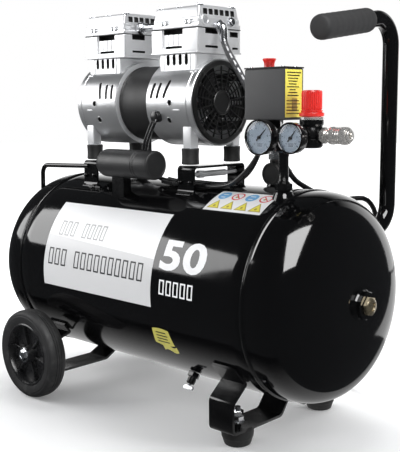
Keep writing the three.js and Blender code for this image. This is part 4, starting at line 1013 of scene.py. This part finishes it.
def head(s):
    """The head with its plate, hollow crown, ribs and screws. Only the outlet end has the side fittings."""
    top = Piece().slab([(35, -48.6), (134.6, -48.6), (135.4, -47.6), (135.4, 47.6), (134.6, 48.6), (35, 48.6),
                        (34.2, 47.6),
                        (34.2, -47.6)], 397.2, 404, "z", 1.2)
    top.box((36, -47.4, 402), (134.2, 47.4, 413.2), 2.6)
    roof = Piece().box((36.5, -47, 411), (134, 47, 430), 3.4, steps=4)
    for v in roof.bm.verts:
        f = (v.co.z - 411) / 19
        v.co.x = 85.2 + (v.co.x - 85.2) * (1 - 0.03 * f)
        v.co.y *= 1 - 0.085 * f
    top.join(roof)
    cutters = Piece()
    for k in range(6):
        cutters.box((128, -35.4 + 12.4 * k, 416.6), (142, -26.4 + 12.4 * k, 425.4), 1.4)
        cutters.box((30, -35.4 + 12.4 * k, 416.6), (41, -26.4 + 12.4 * k, 425.4), 1.4)
    for y in (-1, 1):
        cutters.side_box(y, (42, 46, 407.4), (128, 60, 409.6), 0.8)
    for y in (-34, 36):
        cutters.rod(5.6, 128, 142, "x", (0, y, 408), 0.2, 32)
    top.cut(cutters)
    # The insides of the end slots take the black gasket finish: painted shade.
    shade_hollows(top, [((lo, -36 + 12.4 * k, 416.2), (hi, -25.8 + 12.4 * k, 425.8))
                 for k in range(6) for lo, hi in ((127, 132.4), (37.6, 42))], 2)
    for k in range(9):
        top.box((44 + 10 * k, -33, 428.6), (46.4 + 10 * k, 33, 431.6), 1)
    for d in (42, 85, 127):
        for y in (-36.5, 36.5):
            top.ring(3.4, 6.8, 429.4, 430.6, "z", (d, y, 0), 0.3, 32, 1)
            top.nut(9, 430.2, 433.4, "z", (d, y, 0), 1)
    for y in (-1, 1):
        for d in (56, 65, 109, 118):
            top.turn([(3.6, y * 47), (3.6, y * 50), (2.6, y * 50.8), (1.6, y * 50.8), (1.4, y * 49.4),
                      (0, y * 49.4)], "y", (d, 0, 405.6),
                     24, 1)
    if s > 0:
        top.nut(13, 134, 140, "x", (0, 24, 408), 1).rod(4.6, 133, 143, "x", (0, 24, 408), 0.8, 32, 1)
        top.ring(5.4, 8.4, 134.6, 137.4, "x", (0, -34, 408), 0.6, 40, 0)
    return top


cases = []
for s, side in ((1, "outlet_end"), (-1, "wheel_end")):
    cases.append(pump_side(crankcase(), s).done(
        f"crankcase_{side}_casting", ("cast", "drum",
                                      "gasket"), swap=f"crankcase_{side}", edge=0.5, slot="cast_alloy"))
    pump_side(block(), s).done(
        f"cylinder_{side}_casting", ("cast", "gasket"), swap=f"cylinder_block_{side}", edge=0.3, slot="cast_alloy")
    pump_side(head(s), s).done(
        f"head_{side}_casting", ("cast", "zinc",
                                 "gasket"), swap=f"cylinder_head_{side}", edge=0.3, slot="cast_alloy")
    thin = Piece().slab([(33.6, -49.6), (134.8, -49.6), (134.8, 49.6), (33.6, 49.6)], 396.2, 397.2, "z", 0)
    pump_side(thin, s).done(f"gasket_{side}", "gasket", slot="black_plastic")
print("castings ready", [len(c.data.polygons) for c in cases])

# %% [markdown]
# ## Covers, fans and the motor band
# The end covers are moulded plastic grilles: thin rings held by radial ribs, so that air reaches the fan but
# fingers don't. Building real rings and ribs keeps the dark depth behind them, which a drawn pattern can't give.

# %% Fan cover, fan, stator band, pistons and shaft
for s, side in ((1, "outlet_end"), (-1, "wheel_end")):
    cover = Piece().turn([(61, 128.7), (64.4, 128.7), (64.8, 129.4), (64.8, 138), (64.4, 139.6), (63, 140.2),
                          (58, 140.3), (57, 139.6),
                          (57, 138), (61, 136.6)], "x", AX, 128, loop=True)
    for r in (24, 30.5, 37, 43.5, 50):
        cover.turn([(r - 0.7, 136.8), (r - 0.5, 138.8), (r + 0.5, 138.8), (r + 0.7, 136.8)], "x", AX, 96, loop=True)
    cover.turn([(0, 137), (18.6, 137), (19.4, 138), (19.4, 139.8), (18.4, 140.6), (16, 140.6), (15.2, 139.9),
                (0, 139.9)], "x", AX, 72)
    for k in range(18):
        spin = Matrix.Translation(AX) @ Matrix.Rotation(2 * math.pi * k / 18, 4, "X")
        cover.box((136.6, -0.8, 18), (139.4, 0.8, 58.6), 0.4, move=spin, steps=2)
    for k in range(4):
        w = math.radians(45 + 90 * k)
        cover.rod(3.4, 138, 141.0, "x", (0, 61.6 * math.cos(w), MOTOR + 61.6 * math.sin(w)), 0.7, 24)
    pump_side(cover, s).done(f"fan_grille_{side}", "grille", swap=f"fan_cover_{side}", slot="black_plastic")
    lip = Piece().ring(64.9, 67.8, 126.6, 137.6, "x", AX, 0.8, 128)
    pump_side(lip, s).done(f"cover_seat_{side}", "drum", slot="cast_alloy")
    fan = Piece().turn([(6.4, 106), (14, 106), (15, 107.4), (15, 118), (13, 119), (6.4, 119)], "x", AX, 48,
                       loop=True)
    for k in range(7):
        blade = Piece().slab([(-8, 13), (-9.4, 30), (-8.4, 46), (-4, 53), (4, 54), (8.6, 46), (9, 30), (7, 13)],
                             -1.1, 1.1, "y", 0.5)
        place = Matrix.Translation((112.5, 0, MOTOR)) @ Matrix.Rotation(2 * math.pi * k / 7, 4, "X")
        blade.bm.transform(place @ Matrix.Rotation(math.radians(38), 4, "Z"))
        fan.join(blade)
    pump_side(fan, s).done(f"fan_{side}", "ink", "rotor", f"cooling_fan_{side}", slot="grey_plastic")
    crown = [(27.1, 380), (26.2, 380.2), (0, 380.2)]
    walls = []
    for z in (378.6, 376.2, 373.8):
        walls += [(27.1, z), (26.3, z - 0.2), (26.3, z - 1.0), (27.1, z - 1.2)]
    rod = Piece().turn([(0, 372), (26, 372), (27.1, 372.5)] + walls[::-1] + crown, "z", (83.5, 0, 0), 72)
    rod.box((79, -8, 312), (88, 8, 373), 1.6)
    rod.ring(27.2, 32, 79, 88, "x", AX, 0.6, 72)
    pump_side(rod, s).done(f"piston_and_rod_{side}", "machined", f"piston_assembly_{side}", f"piston_{side}",
                           slot="cast_alloy")
shaft = Piece().rod(6, PUMP - 123.8, PUMP + 123.8, "x", AX, 0.8)
shaft.rod(40, PUMP - 32, PUMP + 32, "x", AX, 1, 96)
for s in (1, -1):
    shaft.rod(12, PUMP + s * 77.5, PUMP + s * 89.5, "x", (0, 0, MOTOR + s * 7), 0.6)
shaft.done("shaft_and_eccentrics", "tube", "rotor", "motor_shaft", slot="zinc_steel")
band = Piece().turn([(41, -36), (60.4, -36), (61.2, -34.6), (61.4, -32), (61.4, -30.5), (60.6, -30), (60.6, 30),
                     (61.4, 30.5),
                     (61.4, 32), (61.2, 34.6), (60.4, 36), (41, 36)], "x", (PUMP, 0, MOTOR), 128, loop=True)
band.done("stator_band", "band", swap="stator_housing", slot="black_plastic")
print("covers ready")

# %% [markdown]
# ## Pipes, hose and check valve
# A short plated pipe joins the heads.

# %% Pipe, hose and valve
link = Piece().draw([(PUMP - 33 + 66 * i / 30, -14, 407) for i in range(31)], 6.4, 32)
for s in (-1, 1):
    a, b = sorted((PUMP + s * 33.6, PUMP + s * 25))
    link.nut(18.4, a, b, "x", (0, -14, 407))
    a, b = sorted((PUMP + s * 25, PUMP + s * 21))
    link.ring(6, 7.8, a, b, "x", (0, -14, 407), 1.0, 48)
link.done("head_pipe", "zinc", swap="head_link_pipe", slot="zinc_steel")
hose = Piece().nut(16, 79.4, 87.6, "x", (0, -7, 400), mat=1)
hose.draw(rounded([(82, -7, 400), (93, -7, 400), (93, -7, 384)], [7], 8), 6.2, 24, 1)
line = smooth_line([(93, -7, 388), (93.5, -7, 378), (99, -5, 362), (112, -2, 340), (127, 3, 313), (150, 12, 264),
                    (165, 21, 226), (170, 24, 208), (170, 24, 200)], 220)
hose.draw(line, 5.4, 24, 0, wave=lambda f: 1 + 0.035 * math.sin(f * 640))
hose.draw(line[:14], 6.6, 24, 1).draw(line[-16:], 6.6, 24, 1)
hose.nut(18, 196.2, 205.6, "z", CHECK, mat=1)
hose.done("discharge_pipe", ("hose", "zinc"), swap="discharge_hose", slot="zinc_steel")
valve = Piece().rod(8.8, 155.4, 171, "z", CHECK, 0.6)
valve.nut(20, 156.4, 163, "z", CHECK, mat=1)
valve.rod(7.8, 180, 195.6, "z", CHECK, 0.6)
valve.turn([(0, 13.6), (13, 13.6), (13.6, 13), (16.4, 13), (17.4, 14.2), (17.4, 22), (16.6, 23), (17.4, 24),
            (17.4, 28), (16.2, 29.4),
            (14, 30), (13.6, 36), (11, 46), (7.6, 57), (6.6, 59.6), (0, 60)], "y", (170, 0, 174), 72)
valve.done("check_valve_housing", ("grille", "brass"), swap="check_valve", slot="black_plastic")
print("pipes ready")

# %% [markdown]
# ## Outlet group
# A threaded pillar rises from the tank to a small manifold. The pressure switch sits on top, two gauges face
# the user, and a regulator with a red knob feeds the quick coupler.

# %% Pillar and manifold
pillar = Piece().nut(22, 158, 168, "z", RISER, phase=0.5)
pillar.turn([(10.4, 157.4), (10.6, 158.4), (10, 159), (0, 159)], "z", RISER, 48)
pillar.turn([(9, 167.6), (9.4, 169), (8.6, 170.4)] + [(7.1 + 0.35 * (k % 2), 171 + 0.9 * k) for k in range(8)]
            + [(7, 179), (7, 206), (7.6, 207), (7.6, 212), (9, 213), (0, 213)], "z", RISER, 48)
pillar.nut(20, 212.4, 224, "z", RISER)
pillar.turn([(0, 206.2), (9, 206.2), (10.6, 207), (11, 208.4), (11, 232), (9.6, 233), (9.6, 234.6), (11, 235.6),
             (11, 250), (10.2, 252),
             (10.8, 254), (10.8, 270.8), (10, 271.6), (0, 271.6)], "x", (0, LUG_Y, PORT_Z), 64)
pillar.rod(12.6, 222, 246, "z", RISER, 1.6, 64)
pillar.rod(10.8, 234, 259.6, "z", STEM, 0.8, 56)
pillar.nut(22, 247, 255, "z", STEM)
pillar.rod(9, -56, -50, "y", (228, 0, PORT_Z), 0.8, 48)
pillar.done("manifold", "black_steel", swap="outlet_pillar", slot="black_steel")

# %% Pressure switch
cover = Piece().box((184.2, -63.6, 257.6), (257.2, -21.4, 328.4), 1.8, steps=4)
cover.box((183.6, -64.2, 328.9), (257.8, -20.8, 330.9), 0.7, mat=1)
cover.box((185.4, -62.4, 328), (256.2, -22.6, 329.4), 0, mat=1)
cover.cut(Piece().rod(8.2, 325, 340, "z", BUTTON, 0.1, 48))
cover.paint(lambda c: 1 if c.z > 328.45 else 0)
for x, y in ((196, -32), (206, -13.6)):
    cover.turn([(5, 262), (8.4, 262), (8.6, 257), (7.6, 256), (7.6, 252.6), (6.4, 250.4), (4.6, 250.2),
                (4.6, 262)], "z", (x, y, 0), 40, loop=True, mat=1)
cover.box((198.6, -23, 260.4), (213.4, -5.6, 274.6), 1.2, mat=1)
for y in (-57, -29):
    cover.rod(3, 330.4, 332, "z", (248, y, 0), 0.5, 24, 2)
    cover.rod(3, 330.4, 332, "z", (191, y, 0), 0.5, 24, 2)
cover.done("switch_cover", ("switch", "grille", "zinc"), swap="pressure_switch_body", edge=0.25,
           slot="grey_plastic")
notice = Piece().box((256.9, -62.6, 261.4), (257.5, -24.6, 327.2), 0.2, steps=1)
for k, (y0, y1) in enumerate(((-59, -27), (-58, -31), (-57, -34), (-56, -36), (-55, -38), (-59, -32), (-53, -40),
                              (-56, -36), (-58, -33))):
    notice.box((257.4, y0, 322 - 3.9 * k), (257.7, y1, 323.4 - 3.9 * k), 0, mat=1)
notice.box((257.4, -48, 270), (257.7, -36, 287.4), 0, mat=3)
for k in range(5):
    notice.box((257.4, -60, 266 + 4.4 * k), (257.75, -30 - 2 * (k % 3), 267.2 + 4.4 * k), 0, mat=1)
notice.done("switch_notice", ("yellow", "ink", "signal", "ochre"), slot="grey_plastic")
knob = Piece().turn([(0, 319), (3.8, 319), (3.8, 330), (7, 330.4), (7.6, 331.4),
                     (7.4, 333)] + [(7.4 + 2.0 * (k / 8) ** 3, 333 + 8.4 * k / 8) for k in range(1, 9)]
                    + [(9.6, 341.8), (9.6, 343), (8.8, 343.7), (7, 343.9), (6.4, 343.2),
                       (0, 343.2)], "z", BUTTON, 64)
knob.done("switch_pull", "red", "switch_button", "switch_knob", slot="red_plastic")
print("switch ready")

# %% Regulator and coupler
bore = (0, LUG_Y, 237)
body = Piece().turn([(0, 219.4), (11, 219.4), (14, 220.2), (15.6, 222), (16, 224), (16, 225), (16, 231),
                     (15.3, 231.8), (15.3, 233.4),
                     (16, 234.2), (16, 246), (15, 248), (15.2, 250), (16.6, 252), (16.6, 258), (16, 258.6), (6.4,
                             258.6), (6.4, 250), (0, 250)],
                    "z", OUT, 72)
body.rod(9, 288, 305.6, "x", bore, 0.8, 48)
body.nut(20, 303.4, 306.2, "x", bore)
body.rod(8.4, -62, -50, "y", (284, 0, PORT_Z), 0.8, 48)
body.done("regulator_housing", "black_steel", swap="regulator_body", slot="black_plastic")
collar = Piece().ring(14, 17.0, 258.0, 262.2, "z", OUT, 0.6, 72)
collar.done("regulator_collar", "chrome", slot="chrome")
ribbed = [14.2 if k % 4 < 2 else 13.3 for k in range(120)]
wheel = Piece().turn([(0, 252), (6, 252), (6, 259), (13, 259), (13, 262.6), (16.6, 262.8), (17.2, 263.4),
                      (17.2, 267), (16.6, 267.8), (14.4, 268.2), (14.4, 269.4),
                      (15.4, 269.8), (15.4, 270.6), (15, 271), (13, 271.2), (13, 272.6), (0, 272.6)], "z", OUT, 72)
b = bmesh.new()
rows = []
for z, k in ((271.6, 0.94), (273, 1), (294, 1), (296.4, 0.985), (297.7, 0.93)):
    rows.append([b.verts.new((r * k * math.cos(math.pi * i / 60), r * k * math.sin(math.pi * i / 60), z))
                 for i, r in enumerate(ribbed)])
for lo, hi in zip(rows, rows[1:]):
    for i in range(120):
        b.faces.new((lo[i], lo[(i + 1) % 120], hi[(i + 1) % 120], hi[i]))
b.faces.new(rows[-1])
b.faces.new(rows[0][::-1])
wheel.add(b, 0, Matrix.Translation(OUT))
wheel.rod(11.4, 297.2, 298.2, "z", OUT, 0.4, 64)
wheel.done("regulator_wheel", "red", "regulator_handwheel", "regulator_knob", 30, slot="red_plastic")
tail = Piece().nut(19, 306.4, 314.2, "x", bore)
tail.turn([(4.2, 312), (8.4, 312), (8.6, 313), (8.4, 314), (8.4, 351), (7.8, 352), (4.6, 352), (4.2, 351.4)],
          "x", bore, 64, loop=True)
for x in (315.6, 317.6):
    tail.ring(8, 8.75, x - 0.6, x + 0.6, "x", bore, 0.2, 64)
tail.done("coupler_tail", "chrome", swap="coupler_body", slot="chrome")
sleeve = Piece().turn([(8.9, 320), (10.8, 320), (11.4, 320.6), (12, 321.8), (12, 326.8), (11.2, 328.4),
                       (11, 329.6), (11.4, 330.6), (11.4, 331.6), (11, 332.4),
                       (11, 334), (11.4, 334.8), (11.4, 335.8), (11, 336.8), (11.2, 338.4), (12, 339.8), (12,
                               346.6), (11.2, 348.6), (10.6, 349), (8.9, 349)],
                      "x", bore, 72, loop=True)
sleeve.done("coupler_ring", "chrome", "coupler_collar", "coupler_sleeve", 28, slot="chrome")
print("regulator and coupler ready")

# %% [markdown]
# ## Pressure gauges
# A gauge is a drawn cup with a thin bezel, an enamelled dial, a clear domed lens and a needle on its own pin.
# The scale is real geometry laid a hair above the dial: long and short marks, and plain numbers.

# %% Gauges
def numeral(text, size, place):
    """Numbers of a dial as flat ink."""
    b = numbers(text, size, align_x="CENTER", align_y="CENTER", resolution_u=2)
    b.transform(Matrix.Translation(place) @ Matrix.Rotation(math.pi / 2, 4, "X"))
    return b


def gauge(name, x, r, face, back_to, needle, top):
    """x, r: middle and radius; face, back_to: its front and the end of its stem along y; needle: its degrees."""
    at = (x, 0, PORT_Z)

    def on_dial(radius, degrees):
        w = math.radians(degrees)
        return x + radius * math.cos(w), PORT_Z + radius * math.sin(w)

    cup = Piece().turn([(0, face + 5), (r - 2.4, face + 5), (r - 2.4, face + 0.8), (r - 1.8, face),
                        (r - 0.6, face), (r, face + 0.8), (r, face + 3), (r - 0.8, face + 3.8),
                        (r - 0.8, face + 13.4), (r - 2, face + 16.6), (r - 5, face + 19.4), (r - 8, face + 20), (0,
                                face + 20)], "y", at, 96)
    cup.nut(14, face + 20, face + 25, "y", at)
    cup.rod(6.4, face + 18, back_to, "y", at, 0.6, 40)
    cup.done(f"gauge_{name}_cup", "black_steel", swap=f"gauge_{name}", slot="black_steel")
    dial = Piece().turn([(0, face + 4.6), (r - 2.5, face + 4.6), (r - 2.5, face + 4.9), (0, face + 4.9)], "y", at,
                        96)
    for k in range(51):
        m = Matrix.Translation(at) @ Matrix.Rotation(-math.radians(225 - 270 * k / 50), 4, "Y")
        length, half = (8.2, 0.34) if k % 5 == 0 else (6.2, 0.15)
        dial.box((r - length, face + 4.44, -half), (r - 4.0, face + 4.56, half), 0, 1, m)
    for k in range(6):
        across, up = on_dial(r - 11.2, 225 - 54 * k)
        dial.add(numeral(str(top * k // 5), r * 0.17, (across, face + 4.5, up)), 1)
    arc = [on_dial(r - 3.5, 225 - 270 * k / 60) for k in range(61)]
    arc += [on_dial(r - 4.2, -45 + 270 * k / 60) for k in range(61)]
    dial.slab(arc, face + 4.46, face + 4.54, "y", 0, 1)
    for k in range(3):
        z = PORT_Z - r * 0.36 - 1.6 * k
        dial.box((x - 4.6 + k * 0.4, face + 4.44, z), (x + 4.6 - k * 0.4, face + 4.54, z + 0.6), 0, 1)
    dial.done(f"gauge_{name}_dial", ("dial", "ink"), slot="dial")
    m = Matrix.Translation(at) @ Matrix.Rotation(-math.radians(needle), 4, "Y")
    hand = Piece().slab([(-6.4, -1.3), (-3, -0.9), (0, -1.1), (r - 8, -0.32), (r - 6.6, 0), (r - 8, 0.32),
                         (0, 1.1), (-3, 0.9), (-6.4, 1.3)], face + 2.6, face + 3.2, "y", 0.1, move=m)
    hand.rod(2.5, face + 1.5, face + 4.3, "y", at, 0.4, 32)
    hand.done(f"gauge_{name}_needle", "ink", f"needle_{name}", f"gauge_needle_{name}", slot="black_plastic")
    dome = [math.radians(90 * k / 12) for k in range(1, 13)]
    lens = Piece().turn([(0, face - 0.6)] + [((r - 2.3) * math.sin(w),
                                              face + 1.2 - 1.8 * math.cos(w)) for w in dome]
                        + [(r - 2.3, face + 1.9), (0, face + 1.0)], "y", at, 72)
    lens.done(f"gauge_{name}_lens", "glass", sharp=60, slot="dial")


gauge("tank", 228, 25, -86, -54.4, 45, 10)
gauge("outlet", 284, 21.5, -88, -61.2, 50, 10)
print("gauges ready")

# %% [markdown]
# ## Start capacitor, wiring and drain
# The capacitor is a plastic can on its side. Its two wires and the motor cable are thick soft tubes that sag
# and touch the tank. The drain cock is a turned body with a pressed key.

# %% Capacitor and wiring
can = [(0, -114), (13, -114), (18, -113), (21, -110.4), (22.6, -106.4), (23.2, -101), (23.2, -26), (22.4, -25.2),
       (22.4, -24.2), (23.2, -23.4), (23.2, -20.6),
       (22.4, -19.8), (22.4, -16), (23.2, -15.2), (23.2, 9), (22.6, 11), (21, 12), (19, 12.3), (18.6, 11.9), (0,
               11.9)]
cap = Piece().turn(can, "x", (0, -77, 185.5), 96)
saddle = Piece().box((-88, -84.6, 126), (-58, -68, 178), 2)
saddle.cut(Piece().turn([(0, -HALF), (R + 0.3, -HALF), (R + 0.3, HALF), (0, HALF)], "x", seg=128))
cap.join(saddle.paint(lambda c: 1))
cap.done("capacitor_can", ("cap", "black_steel"), swap="start_capacitor", edge=0.2, slot="grey_plastic")
pair = Piece()
for dx, dy in ((-4.4, 0.6), (3.6, -1.2)):
    pair.draw(smooth_line([(4 + dx * 0.6, -67 + dy, 261), (4 + dx, -72.5 + dy, 254), (0 + dx, -77 + dy, 240),
                           (-7 + dx, -78.6 + dy, 224), (-12 + dx, -78.6 + dy, 207.6)], 40), 2.7, 18)
pair.turn([(0, -74), (6, -74), (8, -73), (8.6, -71), (8.6, -68.6), (9.2, -68), (9.2, -62), (0, -62)], "y",
          (4, 0, 262), 48)
pair.done("capacitor_wires", "lead", swap="capacitor_lead", slot="lead")
bundle = Piece()
main = smooth_line([(196, -32, 257.7), (196, -32, 238), (188, -32.5, 214), (168, -34, 184), (142, -36, 164),
                    (112, -36, 157.6), (60, -36, 157.4),
                    (0, -36, 157.8), (-32, -36, 166), (-46, -35, 192), (-49, -34, 227)], 140)
bundle.draw(main, 3.4, 24)
for dy, dz in ((7.2, 1.6), (-7.0, -1.8)):
    twin = [(p.x, p.y + dy * ease(196, 150, p.x), p.z + dz * ease(180, 130, p.x)) for p in main if p.x > -10]
    bundle.draw(twin, 3.1, 20)
for x in (150, 96, 20):
    i = min(range(len(main)), key=lambda k: abs(main[k].x - x))
    bundle.draw(main[max(i - 1, 0):i + 3], 4.1, 24)
bundle.done("motor_cable", "lead", swap="motor_lead", slot="lead")
print("wiring ready")

# %% Drain cock
tilt = Matrix.Translation((103.5, 0, 0)) @ Matrix.Rotation(math.radians(-34), 4, "X")
cock = Piece().nut(17, -165, -157, "z", move=tilt)
cock.turn([(3.3, -164), (6.5, -164), (6.5, -174), (5.8, -175.6), (3.3, -176)], "z", ORIGIN, 40, move=tilt,
          loop=True)
for z in (-168, -170.5, -173):
    cock.ring(6, 6.9, z - 0.6, z + 0.6, "z", ORIGIN, 0.3, 40, move=tilt)
cock.done("drain_cock", "black_steel", swap="drain_valve_body", slot="brass")
key = Piece().rod(3, -164, -179, "z", move=tilt)
key.slab([(-10, -183), (-8.6, -184.6), (8.6, -184.6), (10, -183), (9.4, -179.4), (5, -178), (-5, -178),
          (-9.4, -179.4)], -1.4, 1.4, "y", 0.6, move=tilt)
key.done("drain_key_wing", "tube", "drain_key", "drain_valve_key", slot="zinc_steel")
print("drain ready")
